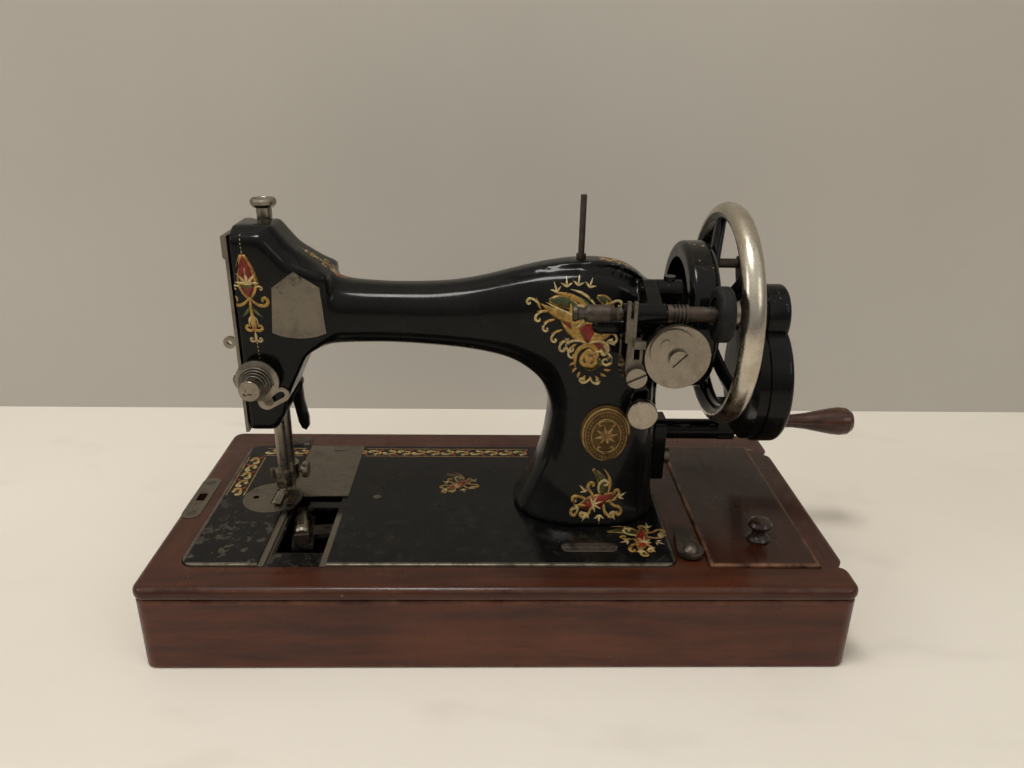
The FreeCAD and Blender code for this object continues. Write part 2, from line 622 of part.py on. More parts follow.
def bed():
    plate = rounded_block(BED_X0, BED_X1, BED_Y0, BED_Y1, BED_UNDER, BED_DATUM, BED_CORNER_R)
    plate = round_edges(plate, BED_EDGE_ROUND, lambda b: b.ZMin > BED_DATUM - 0.01)
    way_z = BED_DATUM - WAY_DEPTH
    plate = plate.cut(box(WAY_X0, WAY_X1, BED_Y0 - 1, BED_Y1 + 1, way_z, BED_DATUM + 1))
    recess_back = NEEDLE_PLATE_Y + 4
    plate = plate.cut(box(WAY_X0 + LIP_W, WAY_X1 - LIP_W, BED_Y0 - 1, recess_back, BED_DATUM - RECESS_DEPTH, BED_DATUM))
    through = box(SLOT_X0, SLOT_X1, SLOT_FRONT, SLOT_BACK, BED_UNDER - 1, BED_DATUM)
    bar_z = BED_UNDER + 2.3
    bar = box(SLOT_X0 + 10, SLOT_X1 + 0.1, RACE_BAR_Y - RACE_BAR_W / 2, RACE_BAR_Y + RACE_BAR_W / 2,
              bar_z, bar_z + 2.4)
    plate = plate.cut(through).fuse(bar)
    plate = plate.cut(rod_z(BED_DATUM - NEEDLE_PLATE_SEAT, BED_DATUM + 1, NEEDLE_PLATE_X, NEEDLE_PLATE_Y,
                            NEEDLE_PLATE_R + SLIDE_GAP))
    plate = plate.cut(rod_z(BED_UNDER - 1, BED_DATUM, NEEDLE_PLATE_X, NEEDLE_PLATE_Y, NEEDLE_PLATE_R - 3.0))
    plate = plate.cut(box(44, 96, -22, 18, BED_UNDER - 1, BED_DATUM + 1))
    pad = slot_z(0, 0, 54, 11, BED_DATUM - 0.5, BED_DATUM + 0.5)
    pad.rotate(V(0, 0, 0), Z_AXIS, 90)
    pad.translate(V(63, -60, 0))
    plate = plate.fuse(pad)
    plate = plate.fuse(rod_z(BED_UNDER - 9.5, BED_UNDER + 1, SWING_X, SWING_Y, SWING_SHAFT_R + 5))
    plate = plate.cut(rod_z(BED_UNDER - 12, BED_UNDER + 3, SWING_X, SWING_Y, SWING_SHAFT_R + RUN_FIT))
    for x in (-180.0, 84.0):
        lug = box(x - 5, x + 5, FEED_SHAFT_Y - 7, FEED_SHAFT_Y + 7, FEED_SHAFT_Z - 7, BED_UNDER + 1)
        plate = plate.fuse(lug.cut(rod_x(x - 6, x + 6, FEED_SHAFT_Y, FEED_SHAFT_Z, FEED_SHAFT_R)))
    for x in HINGE_XS:
        half = HINGE_HALF_W + 0.3
        plate = plate.cut(box(x - half, x + half, HINGE_Y - KNUCKLE_R - 0.3, BED_Y1 + 1, HINGE_DATUM - KNUCKLE_R - 0.3,
                              BED_DATUM + 1))
        lug = rod_x(x - LUG_HALF_W, x + LUG_HALF_W, HINGE_Y, HINGE_DATUM, KNUCKLE_R)
        lug = lug.fuse(box(x - LUG_HALF_W, x + LUG_HALF_W, HINGE_Y - 6, HINGE_Y, HINGE_DATUM - KNUCKLE_R, HINGE_DATUM))
        lug = lug.cut(rod_x(x - HINGE_HALF_W, x + HINGE_HALF_W, HINGE_Y, HINGE_DATUM, HINGE_PIN_R + RUN_FIT))
        plate = plate.fuse(lug)
    for x, y in bed_screw_places():
        plate = plate.cut(rod_z(BED_DATUM - 3.5, BED_DATUM + 1, x, y, 2.8))
    return plate.removeSplitter()


def bed_screw_places():
    return ((-88.0, -1.6),)


def needle_plate():
    z0 = BED_DATUM - NEEDLE_PLATE_T + 0.1
    plate = rod_z(z0, BED_DATUM + 0.1, NEEDLE_PLATE_X, NEEDLE_PLATE_Y, NEEDLE_PLATE_R)
    for x in feed_rows():
        plate = plate.cut(box(x - 1.5, x + 1.5, -11, 9, z0 - 1, BED_DATUM + 1))
    plate = plate.cut(rod_z(z0 - 1, BED_DATUM + 1, BAR_X, NEEDLE_BAR_Y, 1.1))
    return plate.cut(rod_z(z0 - 1, BED_DATUM + 1, NEEDLE_PLATE_X - 12, NEEDLE_PLATE_Y, 2.2))


def feed_rows():
    return (BAR_X - 8.0, BAR_X - 3.6)


def feed_dog():
    """Toothed rows, the bar under them and the rock shaft that moves them."""
    z0 = BED_UNDER - 5
    body = box(BAR_X - 13, BAR_X - 1, -9.5, 7.5, z0, BED_UNDER + 1.5)
    for x in feed_rows():
        row = box(x - 1.1, x + 1.1, -9.5, 7.5, BED_UNDER, BED_DATUM - 0.6)
        for i in range(8):
            y = -9.5 + i * 2.1
            tooth = Part.Face(polygon([V(x - 1.1, y, BED_DATUM - 0.7), V(x - 1.1, y + 1.9, BED_DATUM - 0.7),
                                       V(x - 1.1, y + 1.4, BED_DATUM + 0.05)])).extrude(V(2.2, 0, 0))
            row = row.fuse(tooth)
        body = body.fuse(row)
    lever = box(BAR_X - 13, BAR_X - 9, -9.5, FEED_SHAFT_Y, z0, z0 + 5)
    shaft = rod_x(-186, 90, FEED_SHAFT_Y, FEED_SHAFT_Z, FEED_SHAFT_R)
    drop = box(BAR_X - 13, BAR_X - 9, FEED_SHAFT_Y - 6, FEED_SHAFT_Y + 6, FEED_SHAFT_Z - 6, z0 + 5)
    return body.fuse(lever).fuse(drop).fuse(shaft).removeSplitter()


def slide_plate():
    z0 = BED_DATUM - WAY_DEPTH + 0.05
    plate = box(WAY_X0 + SLIDE_GAP, WAY_X1 - SLIDE_GAP, 0, BED_Y1 - 0.3, z0, z0 + PLATE_T)
    plate = plate.cut(rod_z(z0 - 1, z0 + 3, NEEDLE_PLATE_X, NEEDLE_PLATE_Y, NEEDLE_PLATE_R + SLIDE_GAP * 2))
    grip = slot_z(0, 0, 10, 1.4, z0 + PLATE_T - 0.5, z0 + 3)
    grip.rotate(V(0, 0, 0), Z_AXIS, 90)
    grip.translate(V((WAY_X0 + WAY_X1) / 2 + 3, BED_Y1 - 9, 0))
    return plate.cut(grip)


def shuttle():
    half = SHUTTLE_L / 2
    profile = [(0, 0), (0, 4.2), (1.6, 5.6), (4.0, SHUTTLE_R), (18.0, SHUTTLE_R), (24.0, 4.9), (29.0, 2.8),
               (SHUTTLE_L - 0.6, 0.9), (SHUTTLE_L, 0)]
    body = turned(profile, V(SHUTTLE_X, SHUTTLE_Y - half, SHUTTLE_Z), Y_AXIS)
    window = box(SHUTTLE_X - 1.6, SHUTTLE_X + 1.6, SHUTTLE_Y - half + 5, SHUTTLE_Y + 3, SHUTTLE_Z + 2,
                 SHUTTLE_Z + SHUTTLE_R + 1)
    body = body.cut(window)
    body.rotate(V(SHUTTLE_X, SHUTTLE_Y, 0), Z_AXIS, carrier_heading() - 180)
    return body


def carrier_heading():
    """The carrier arm's direction in plan, in degrees from +X."""
    return math.degrees(math.atan2(SHUTTLE_Y - SWING_Y, SHUTTLE_X - SWING_X)) % 360


def shuttle_carrier():
    """Vertical shaft, arm under the bed and the two horns that push the shuttle."""
    z1 = SHUTTLE_Z - SHUTTLE_R - 0.3
    z0 = z1 - CARRIER_T
    dx = SHUTTLE_X - SWING_X
    dy = SHUTTLE_Y - SWING_Y
    reach = math.hypot(dx, dy)
    arm = box(0, reach, -6, 6, z0, z1)
    arm = arm.fuse(rod_z(z0, z1, 0, 0, 11))
    cradle = box(reach - 7.2, reach + 7.2, -SHUTTLE_L / 2 - 3.2, SHUTTLE_L / 2 + 3.2, z0, z1)
    arm = arm.fuse(cradle)
    for side in (-1, 1):
        y0 = side * (SHUTTLE_L / 2 + 1.7) - 1.4
        arm = arm.fuse(box(reach - 5, reach + 5, y0, y0 + 2.8, z0, SHUTTLE_Z + 2.0))
    arm.rotate(V(0, 0, 0), Z_AXIS, carrier_heading())
    arm.translate(V(SWING_X, SWING_Y, 0))
    shaft = rod_z(z0, BED_UNDER + 2.5, SWING_X, SWING_Y, SWING_SHAFT_R)
    return arm.fuse(shaft).removeSplitter()


def rock_shafts():
    """The two upright rods inside the pillar, from the main shaft to the levers under the bed."""
    rods = []
    for x, y in ((60.5, MID_Y), (73.0, MID_Y)):
        rods.append(rod_z(FEED_SHAFT_Z, SHAFT_Z - 12, x, y, 3.4))
    foot = box(56, 77, MID_Y - 5, FEED_SHAFT_Y - FEED_SHAFT_R, FEED_SHAFT_Z - 3, FEED_SHAFT_Z + 3)
    return rods[0].fuse(rods[1]).fuse(foot).removeSplitter()


# Arm, pillar and head casting



def station_wire(inner, outer, half_depth):
    """One rounded section of the arm, standing across the middle plane, started at its outer point."""
    low = V(inner[0], MID_Y, inner[1])
    high = V(outer[0], MID_Y, outer[1])
    centre = (low + high) * 0.5
    reach = (high - low) * 0.5
    points = []
    for i in range(SECTION_POINTS):
        angle = 2 * math.pi * i / SECTION_POINTS
        c = math.cos(angle)
        d = math.sin(angle)
        share_c = math.copysign(abs(c) ** (2 / SECTION_FULLNESS), c)
        share_d = math.copysign(abs(d) ** (2 / SECTION_FULLNESS), d)
        points.append(centre + reach * share_c + Y_AXIS * (half_depth * share_d))
    half_way = SECTION_POINTS // 2
    back = Part.BSplineCurve()
    back.interpolate(points[:half_way + 1], InitialTangent=Y_AXIS, FinalTangent=Y_AXIS * -1)
    front = Part.BSplineCurve()
    front.interpolate(points[half_way:] + points[:1], InitialTangent=Y_AXIS * -1, FinalTangent=Y_AXIS)
    return Part.Wire([back.toShape(), front.toShape()])


def arm_loft():
    wires = [station_wire(a, b, d) for a, b, d in STATIONS]
    return Part.makeLoft(wires, True, False)


def head_block():
    profiles = ((HEAD_Y0, HEAD_FRONT), (HEAD_Y0 + 11, HEAD_MIDDLE), (HEAD_Y1 - 9, HEAD_MIDDLE), (HEAD_Y1, HEAD_FRONT))
    wires = [polygon([V(x, y, z) for x, z in outline]) for y, outline in profiles]
    block = Part.makeLoft(wires, True, True)
    for face_y in (HEAD_Y0, HEAD_Y1):
        block = round_edges(block, HEAD_ROUND, lambda b: abs(b.YMin - face_y) < 0.01 and b.YLength < 0.01
                            and b.XMax > HEAD_X0 + 0.1)
    return block


def arm_cavities():
    """The hollow of the head, the bore along the arm and the hollow of the pillar."""
    back = HEAD_Y1 - HEAD_BACK_WALL
    head = box(HEAD_X0 - 1, -139, HEAD_Y0 + HEAD_WALL, back, HEAD_BOTTOM + 7, HEAD_FRONT_TOP - 8)
    arm = rod_x(-140, 84, MID_Y, SHAFT_Z, ARM_BORE_R)
    arm = arm.cut(rod_x(-116, -98, MID_Y, SHAFT_Z, ARM_BORE_R + 1))
    lower = station_wire((22, BED_DATUM - 1), (101, BED_DATUM - 1), 28)
    middle = station_wire((35, 98), (99, 98), 24)
    upper = station_wire((40, 140), (96, 160), 21)
    top = station_wire((44, 186), (86, 196), 13)
    pillar = Part.makeLoft([lower, middle, upper, top], True, False)
    return [head, arm, pillar]


def casting_pads():
    """Flat seats cast on the pillar: the crank bracket's, the winder's and the shaft boss."""
    boss = rod_x(86, BOSS_X, MID_Y, SHAFT_Z, BOSS_R)
    crank_seat = box(90, FOOT_X0, SUPPORT_Y - 13, SUPPORT_Y + 13, 80, 124)
    winder_seat = box(88, 106, -34, MID_Y, 214, 226)
    return [boss, crank_seat, winder_seat]


def regulator_slot():
    slot = box(REGULATOR_X - 4.3, REGULATOR_X + 4.3, -40, -12, REGULATOR_Z - 9.3, REGULATOR_Z + 9.3)
    return slot


def arm_casting():
    casting = arm_loft()
    casting = casting.fuse(head_block())
    for pad in casting_pads():
        casting = casting.fuse(pad)
    for hollow in arm_cavities():
        casting = casting.cut(hollow)
    casting = casting.cut(rod_x(-125, BOSS_X + 1, MID_Y, SHAFT_Z, SHAFT_R + RUN_FIT))
    for y in (NEEDLE_BAR_Y, PRESSER_BAR_Y):
        casting = casting.cut(rod_z(HEAD_BOTTOM - 2, HEAD_BOTTOM + 10, BAR_X, y, BAR_R + RUN_FIT))
    casting = casting.cut(rod_z(HEAD_CROWN - 25, HEAD_CROWN + 2, BAR_X, PRESSER_BAR_Y, PRESSURE_NECK_R + RUN_FIT))
    casting = casting.cut(rod_y(HEAD_Y0 - 1, TAKE_UP_Y, TAKE_UP_X, TAKE_UP_Z, TAKE_UP_PIN_R + RUN_FIT))
    casting = casting.cut(take_up_room())
    casting = casting.cut(rod_z(SPOOL_SEAT - 11, SPOOL_SEAT + 1, SPOOL_X, MID_Y, SPOOL_TANG_R))
    casting = casting.cut(rod_z(SPOOL_SEAT, SPOOL_TOP, SPOOL_X, MID_Y, SPOOL_COLLAR_R))
    casting = casting.cut(rod_y(HEAD_Y1 - 4, HEAD_Y1 + 1, LIFTER_X, LIFTER_Z, LIFTER_PIN_R + RUN_FIT))
    casting = casting.cut(rod_y(HEAD_Y0 - 1, HEAD_Y0 + 5, TENSION_X, TENSION_Z, STUD_R))
    casting = casting.cut(regulator_slot())
    for x, z in front_screw_places():
        casting = casting.cut(rod_y(HEAD_Y0 - 1, HEAD_Y0 + 4.5, x, z, SCREW_SHANK_R))
    casting = casting.cut(rod_x(FOOT_X0 - 9, FOOT_X0 + 1, SUPPORT_Y, FOOT_BOLT_Z, 3.0))
    return casting.removeSplitter()


def take_up_room():
    """The space that the take-up lever sweeps, in front of the needle bar."""
    return box(-140, TAKE_UP_X + 7, TAKE_UP_Y - 2.6, TAKE_UP_Y + 2.6, 184, 222)


def front_screw_places():
    return (ARM_PLATE_SCREW, SLACK_SCREW)


def faceplate():
    """The flat steel cover of the head's open left side, flared at its top."""
    x1 = HEAD_X0 - 0.1
    x0 = x1 - FACEPLATE_T
    plate = box(x0, x1, HEAD_Y0 + 1, HEAD_Y1 - 1, HEAD_BOTTOM - 1, HEAD_FRONT_TOP + 1)
    flare = box(x0 - 3.0, x1, HEAD_Y0 + 3, HEAD_Y1 - 3, HEAD_FRONT_TOP - 14, HEAD_FRONT_TOP + 1)
    flare = round_edges(flare, 2.6, lambda b: b.XMax < x0 - 2.9)
    plate = plate.fuse(flare)
    plate = plate.cut(box(x0 - 5, x1 + 1, TAKE_UP_Y - 2.4, TAKE_UP_Y + 2.4, 176, 222))
    for z in FACE_SCREW_ZS:
        plate = plate.cut(rod_x(x0 - 5, x1 + 1, FACE_SCREW_Y, z, SCREW_SHANK_R))
    return plate.removeSplitter()


def head_screws():
    """Screws of the arm plate, slack plate and faceplate, the bed screw and the crank bracket's bolt."""
    pieces = []
    pieces.append(slotted_screw_y(ARM_PLATE_SCREW[0], ARM_PLATE_SCREW[1], HEAD_Y0 - 3.1, 4.0, 1.6,
                                  SCREW_SHANK_R, 6.0))
    pieces.append(slotted_screw_y(SLACK_SCREW[0], SLACK_SCREW[1], HEAD_Y0 - 2.9, 3.4, 1.3, SCREW_SHANK_R, 6.0, 30))
    face_x = HEAD_X0 - 0.1 - FACEPLATE_T
    for z in FACE_SCREW_ZS:
        head = rod_x(face_x - 1.6, face_x, FACE_SCREW_Y, z, 3.6)
        pieces.append(head.fuse(rod_x(face_x, HEAD_X0 - 0.1, FACE_SCREW_Y, z, SCREW_SHANK_R)))
    for x, y in bed_screw_places():
        pieces.append(rod_z(BED_DATUM - 3.5, BED_DATUM + 0.3, x, y, 2.8))
    bolt = rod_x(FOOT_X0 + FOOT_T, FOOT_X0 + FOOT_T + 5, SUPPORT_Y, FOOT_BOLT_Z, 6.0)
    pieces.append(bolt.fuse(rod_x(FOOT_X0 - 9, FOOT_X0 + FOOT_T, SUPPORT_Y, FOOT_BOLT_Z, 3.0)))
    return Part.makeCompound(pieces)


def arm_plate():
    outline = [(-127.8, 233.8), (-112.3, 224.0), (-110.1, 194.4), (-116.0, 192.2), (-122.0, 191.1), (-127.4, 190.8),
               (-133.0, 191.2), (-138.5, 192.3), (-143.9, 194.4), (-141.6, 223.6)]
    plate = plate_xz(outline, HEAD_Y0 - 1.4, HEAD_Y0 - 0.1)
    return plate.cut(rod_y(HEAD_Y0 - 4, HEAD_Y0 + 1, ARM_PLATE_SCREW[0], ARM_PLATE_SCREW[1],
                           SCREW_SHANK_R + RUN_FIT))


def tension_discs():
    """The stud, its collar and the two dished discs."""
    y1 = HEAD_Y0
    stud = rod_y(y1 - 24, y1 + 4, TENSION_X, TENSION_Z, STUD_R)
    collar = rod_y(y1 - 3, y1, TENSION_X, TENSION_Z, 8.5)
    back = turned([(0, STUD_R), (0, 10), (-1.4, DISC_R), (-2.3, DISC_R), (-0.9, 10), (-0.9, STUD_R)],
                  V(TENSION_X, y1 - 3.9, TENSION_Z), Y_AXIS)
    front = turned([(0, STUD_R), (0, 10), (1.2, DISC_R), (0.3, DISC_R), (-0.9, 10), (-0.9, STUD_R)],
                   V(TENSION_X, y1 - 7.6, TENSION_Z), Y_AXIS)
    washer = rod_y(y1 - 7.6, y1 - 3.0, TENSION_X, TENSION_Z, 7.5)
    return stud.fuse(collar).fuse(back).fuse(front).fuse(washer).removeSplitter()


def biarc(p0, t0, p1, t1):
    """Two tangent arcs from p0 to p1 that leave along t0 and arrive along t1."""
    v = p1 - p0
    t = t0 + t1
    k = 2 * (1 - t0.dot(t1))
    d = (-v.dot(t) + math.sqrt(v.dot(t) ** 2 + k * v.dot(v))) / k
    middle = (p0 + p1 + (t0 - t1) * d) * 0.5
    return [arc_from(p0, t0, middle), arc_from(p1, t1 * -1, middle, True)]


def arc_from(p, t, q, backwards=False):
    chord = q - p
    length = chord.Length
    unit = V(chord).normalize()
    side = t - unit * t.dot(unit)
    angle = math.acos(max(-1.0, min(1.0, t.dot(unit))))
    crown = (p + q) * 0.5 + side.normalize() * (length / 2 * math.tan(angle / 2))
    ends = (q, crown, p) if backwards else (p, crown, q)
    return Part.Arc(*ends).toShape()


def coil_point(turn, y_start, y_span):
    angle = 2 * math.pi * turn
    share = turn / SPRING_TURNS
    r = SPRING_BIG_R + (SPRING_SMALL_R - SPRING_BIG_R) * share
    return V(TENSION_X + r * math.cos(angle), y_start + y_span * share, TENSION_Z + r * math.sin(angle))


def coil_tangent(turn, y_start, y_span):
    step = 0.001
    ahead = coil_point(turn + step, y_start, y_span)
    behind = coil_point(turn - step, y_start, y_span)
    return (ahead - behind).normalize()


def tension_spring():
    """The cone-shaped coil between the front disc and the thumb nut."""
    y_disc = HEAD_Y0 - 8.5 - 0.05
    y_nut = TENSION_NUT_Y + 0.05
    stub = SPRING_WIRE_R * 2
    y_start = y_disc - stub - 0.9
    y_span = (y_nut + stub + 0.9) - y_start
    first = coil_point(0, y_start, y_span)
    last = coil_point(SPRING_TURNS, y_start, y_span)
    lead = SPRING_WIRE_R * 2.2
    t_first = coil_tangent(0, y_start, y_span)
    t_last = coil_tangent(SPRING_TURNS, y_start, y_span)
    foot_end = V(first.x, y_disc - stub, first.z) - t_first * lead
    foot_end.y = y_disc - stub
    head_start = V(last.x, y_nut + stub, last.z) + t_last * lead
    head_start.y = y_nut + stub
    front = V(0, -1, 0)
    edges = [Part.LineSegment(foot_end + V(0, stub, 0), foot_end).toShape()]
    edges += biarc(foot_end, front, first, t_first)
    quarters = SPRING_TURNS * 4
    for i in range(quarters):
        a = i / 4
        b = (i + 1) / 4
        edges += biarc(coil_point(a, y_start, y_span), coil_tangent(a, y_start, y_span),
                       coil_point(b, y_start, y_span), coil_tangent(b, y_start, y_span))
    edges += biarc(last, t_last, head_start, front)
    edges.append(Part.LineSegment(head_start, head_start - V(0, stub, 0)).toShape())
    path = Part.Wire(edges)
    ring = Part.Wire([Part.Circle(foot_end + V(0, stub, 0), Y_AXIS, SPRING_WIRE_R).toShape()])
    print("tension spring: least gap between turns", round(coil_gap(y_start, y_span), 2), "mm")
    return path.makePipeShell([ring], True, False)


def coil_gap(y_start, y_span):
    steps = 48
    least = GUARD
    for i in range(SPRING_TURNS * steps):
        p = coil_point(i / steps, y_start, y_span)
        for j in range(i + steps // 2, SPRING_TURNS * steps):
            least = min(least, (coil_point(j / steps, y_start, y_span) - p).Length)
    return least - 2 * SPRING_WIRE_R


def tension_nut():
    y1 = TENSION_NUT_Y
    nut = rod_y(y1 - TENSION_NUT_T, y1, TENSION_X, TENSION_Z, NUT_R)
    nut = round_edges(nut, 0.8, lambda b: b.YMax < y1 - TENSION_NUT_T + 0.01)
    nut = nut.cut(rod_y(y1 - TENSION_NUT_T - 1, y1 + 1, TENSION_X, TENSION_Z, STUD_R + RUN_FIT))
    slot = box(-NUT_R * 0.62, NUT_R * 0.62, -2.5, 1, -1.0, 1.0)
    slot.rotate(V(0, 0, 0), Y_AXIS, -35)
    slot.translate(V(TENSION_X, y1 - TENSION_NUT_T, TENSION_Z))
    return nut.cut(slot)


def check_spring():
    """The thin wire that leaves the discs on the left and ends in a hook."""
    y = HEAD_Y0 - 1.6
    r = 0.45
    points = [V(TENSION_X - 8.95, y, TENSION_Z - 0.4), V(TENSION_X - 13.8, y, TENSION_Z - 1.0),
              V(TENSION_X - 15.6, y, TENSION_Z + 1.6), V(TENSION_X - 16.6, y, TENSION_Z - 1.2),
              V(TENSION_X - 15.4, y, TENSION_Z - 6.0)]
    wire = Part.makeSphere(r, points[0])
    for a, b in zip(points, points[1:]):
        run = Part.makeCylinder(r, (b - a).Length, a, b - a)
        wire = wire.fuse(run).fuse(Part.makeSphere(r, b))
    return wire.removeSplitter()


def slack_plate():
    body = slot_z(0, 0, 22, 10.4, 0, 1.5)
    body = body.cut(slot_z(0, 1.2, 14, 4.6, -1, 3))
    body.rotate(V(0, 0, 0), X_AXIS, 90)
    body.rotate(V(0, 0, 0), Y_AXIS, 62)
    body.translate(V(SLACK_SCREW[0] + 3.2, HEAD_Y0 - 0.05, SLACK_SCREW[1] + 1.5))
    return body


def spool_pin():
    """The upright pin with the collar at its foot and the tang below it."""
    pin = rod_z(SPOOL_SEAT + 1, SPOOL_TOP, SPOOL_X, MID_Y, SPOOL_R)
    pin = round_edges(pin, 0.6, lambda b: b.ZMin > SPOOL_TOP - 0.01)
    pin = pin.fuse(rod_z(SPOOL_SEAT, SPOOL_SEAT + SPOOL_COLLAR_T, SPOOL_X, MID_Y, SPOOL_COLLAR_R))
    return pin.fuse(rod_z(SPOOL_SEAT - 11, SPOOL_SEAT, SPOOL_X, MID_Y, SPOOL_TANG_R)).removeSplitter()


# Needle bar, presser bar and their parts

def pressure_screw():
    profile = [(0, 0), (0, PRESSURE_NECK_R), (22, PRESSURE_NECK_R), (22, 6.6), (24, 8.2), (26.0, 8.3),
               (27.4, 7.4), (27.4, 6.6), (26.9, 6.0), (26.9, 0)]
    return turned(profile, V(BAR_X, PRESSER_BAR_Y, 244.4), Z_AXIS)


def presser_bar():
    bar = rod_z(68, 236, BAR_X, PRESSER_BAR_Y, BAR_R)
    collar = box(BAR_X - 6.5, BAR_X + 6.5, PRESSER_BAR_Y - 6, HEAD_Y1 - HEAD_BACK_WALL - 0.5, 148, 160)
    return bar.fuse(collar).removeSplitter()


def presser_foot():
    """The two-toed foot, its ankle and the socket that takes the bar."""
    z0 = BED_DATUM + 0.4
    sole = box(BAR_X - 6.5, BAR_X + 6.5, -14, 9, z0, z0 + 1.6)
    sole = sole.cut(box(BAR_X - 1.7, BAR_X + 1.7, -15, 1.5, z0 - 1, z0 + 3))
    toe_lift = box(BAR_X - 8, BAR_X + 8, -18, -11, z0 - 3, z0)
    toe_lift.rotate(V(BAR_X, -11, z0), X_AXIS, -16)
    sole = sole.cut(toe_lift)
    ankle = plate_yz([(4.6, z0 + 1), (9, z0 + 1), (14, 72), (14, 77), (8, 77), (7.5, 71)], BAR_X - 4, BAR_X + 4)
    socket = rod_z(70.5, 82, BAR_X, PRESSER_BAR_Y, BAR_R + 2.6)
    socket = socket.cut(box(BAR_X - 8, BAR_X + 8, 0, 6.2, 60, 90))
    socket = socket.cut(rod_z(60, 90, BAR_X, PRESSER_BAR_Y, BAR_R))
    ankle = ankle.cut(rod_z(68, 90, BAR_X, PRESSER_BAR_Y, BAR_R))
    socket = socket.cut(rod_x(BAR_X, BAR_X + 10, PRESSER_BAR_Y, 76, 1.9))
    return sole.fuse(ankle).fuse(socket).removeSplitter()


def presser_foot_screw():
    x0 = BAR_X + BAR_R
    profile = [(0, 0), (0, 1.9), (4.2, 1.9), (4.2, 3.6), (5.4, 3.6), (5.4, 5.6), (6.2, 6.0), (8.6, 6.0), (9.4, 5.4),
               (9.4, 0)]
    return turned(profile, V(x0, PRESSER_BAR_Y, 76), X_AXIS)


def presser_lifter():
    y0 = HEAD_Y1 + 0.3
    hub = rod_y(y0, y0 + 5, LIFTER_X, LIFTER_Z, 6.0)
    outline = [(LIFTER_X - 5, LIFTER_Z), (LIFTER_X - 1.5, LIFTER_Z - 18), (LIFTER_X + 0.5, LIFTER_Z - 31),
               (LIFTER_X + 2.5, LIFTER_Z - 36), (LIFTER_X + 5.5, LIFTER_Z - 37.5), (LIFTER_X + 8, LIFTER_Z - 34),
               (LIFTER_X + 8, LIFTER_Z - 28), (LIFTER_X + 5.5, LIFTER_Z - 14), (LIFTER_X + 5, LIFTER_Z)]
    lever = hub.fuse(plate_xz(outline, y0 + 1, y0 + 4.4))
    return lever.fuse(rod_y(HEAD_Y1 - 3.5, y0 + 1, LIFTER_X, LIFTER_Z, LIFTER_PIN_R)).removeSplitter()


def needle_bar():
    """The bar and the block with the cross slot that the crank pin drives."""
    bar = rod_z(74, 205, BAR_X, NEEDLE_BAR_Y, BAR_R)
    block = box(BAR_X - 5, BAR_X + 9, NEEDLE_BAR_Y - 5.5, NEEDLE_BAR_Y + 5.5, 184, 194)
    block = block.cut(box(BAR_X + 5, BAR_X + 10, NEEDLE_BAR_Y - 4, NEEDLE_BAR_Y + 4, 186.5, 191.5))
    return bar.fuse(block).removeSplitter()


def needle_clamp():
    """The collar at the bar's end, with its thread eye on the left and its screw at the front."""
    collar = rod_z(72.5, 84, BAR_X, NEEDLE_BAR_Y, 6.4)
    collar = collar.cut(rod_z(74, 90, BAR_X, NEEDLE_BAR_Y, BAR_R))
    collar = collar.cut(rod_z(70, 90, BAR_X, NEEDLE_BAR_Y, NEEDLE_R))
    eye = rod_z(78, 84.5, BAR_X - 8.0, NEEDLE_BAR_Y, 1.9).cut(rod_z(77, 86, BAR_X - 8.0, NEEDLE_BAR_Y, 1.0))
    screw = rod_y(NEEDLE_BAR_Y - 10.0, NEEDLE_BAR_Y - BAR_R, BAR_X, 77, 3.1)
    screw = screw.cut(rod_y(NEEDLE_BAR_Y - 11, NEEDLE_BAR_Y - 8.6, BAR_X, 77, 2.0))
    return collar.fuse(eye).fuse(screw).removeSplitter()


def needle():
    profile = [(0, 0), (0, NEEDLE_R), (-12, NEEDLE_R), (-13.5, 0.6), (-24.5, 0.6), (-27.5, 0)]
    return turned(profile, V(BAR_X, NEEDLE_BAR_Y, 74), Z_AXIS)


def take_up_lever():
    """The lever that pulls the thread; its eye stands out of the faceplate's slot."""
    tip_x = -175.0
    tip_z = 184.0
    y0 = TAKE_UP_Y - 1.3
    y1 = TAKE_UP_Y + 1.3
    eye = rod_y(y0, y1, tip_x, tip_z, 4.0).cut(rod_y(y0 - 1, y1 + 1, tip_x, tip_z, 1.6))
    arm = plate_xz([(tip_x + 2.2, tip_z + 3.0), (TAKE_UP_X, TAKE_UP_Z + 3.2), (TAKE_UP_X, TAKE_UP_Z - 3.2),
                    (tip_x + 3.4, tip_z - 1.8)], y0, y1)
    hub = rod_y(y0, y1, TAKE_UP_X, TAKE_UP_Z, 5.5)
    pin = rod_y(HEAD_Y0 + 0.6, y0, TAKE_UP_X, TAKE_UP_Z, TAKE_UP_PIN_R)
    return eye.fuse(arm).fuse(hub).fuse(pin).removeSplitter()


# Main shaft and handwheel

def main_shaft():
    shaft = rod_x(-124, HUB_X1 + 7, MID_Y, SHAFT_Z, SHAFT_R)
    crank = rod_x(-124, -117, MID_Y, SHAFT_Z, 12.0)
    pin = rod_x(-131, -124, MID_Y, SHAFT_Z - 8.5, 2.4)
    return shaft.fuse(crank).fuse(pin).removeSplitter()


def ellipse_ring(x, big_r, half_w, half_t):
    """A ring of oval section round the wheel's axis."""
    centre = V(x, MID_Y, SHAFT_Z + big_r)
    if half_w >= half_t:
        oval = Part.Ellipse(centre + X_AXIS * half_w, centre + Z_AXIS * half_t, centre)
    else:
        oval = Part.Ellipse(centre + Z_AXIS * half_t, centre - X_AXIS * half_w, centre)
    face = Part.Face(Part.Wire([oval.toShape()]))
    return face.revolve(V(x, MID_Y, SHAFT_Z), X_AXIS, 360)


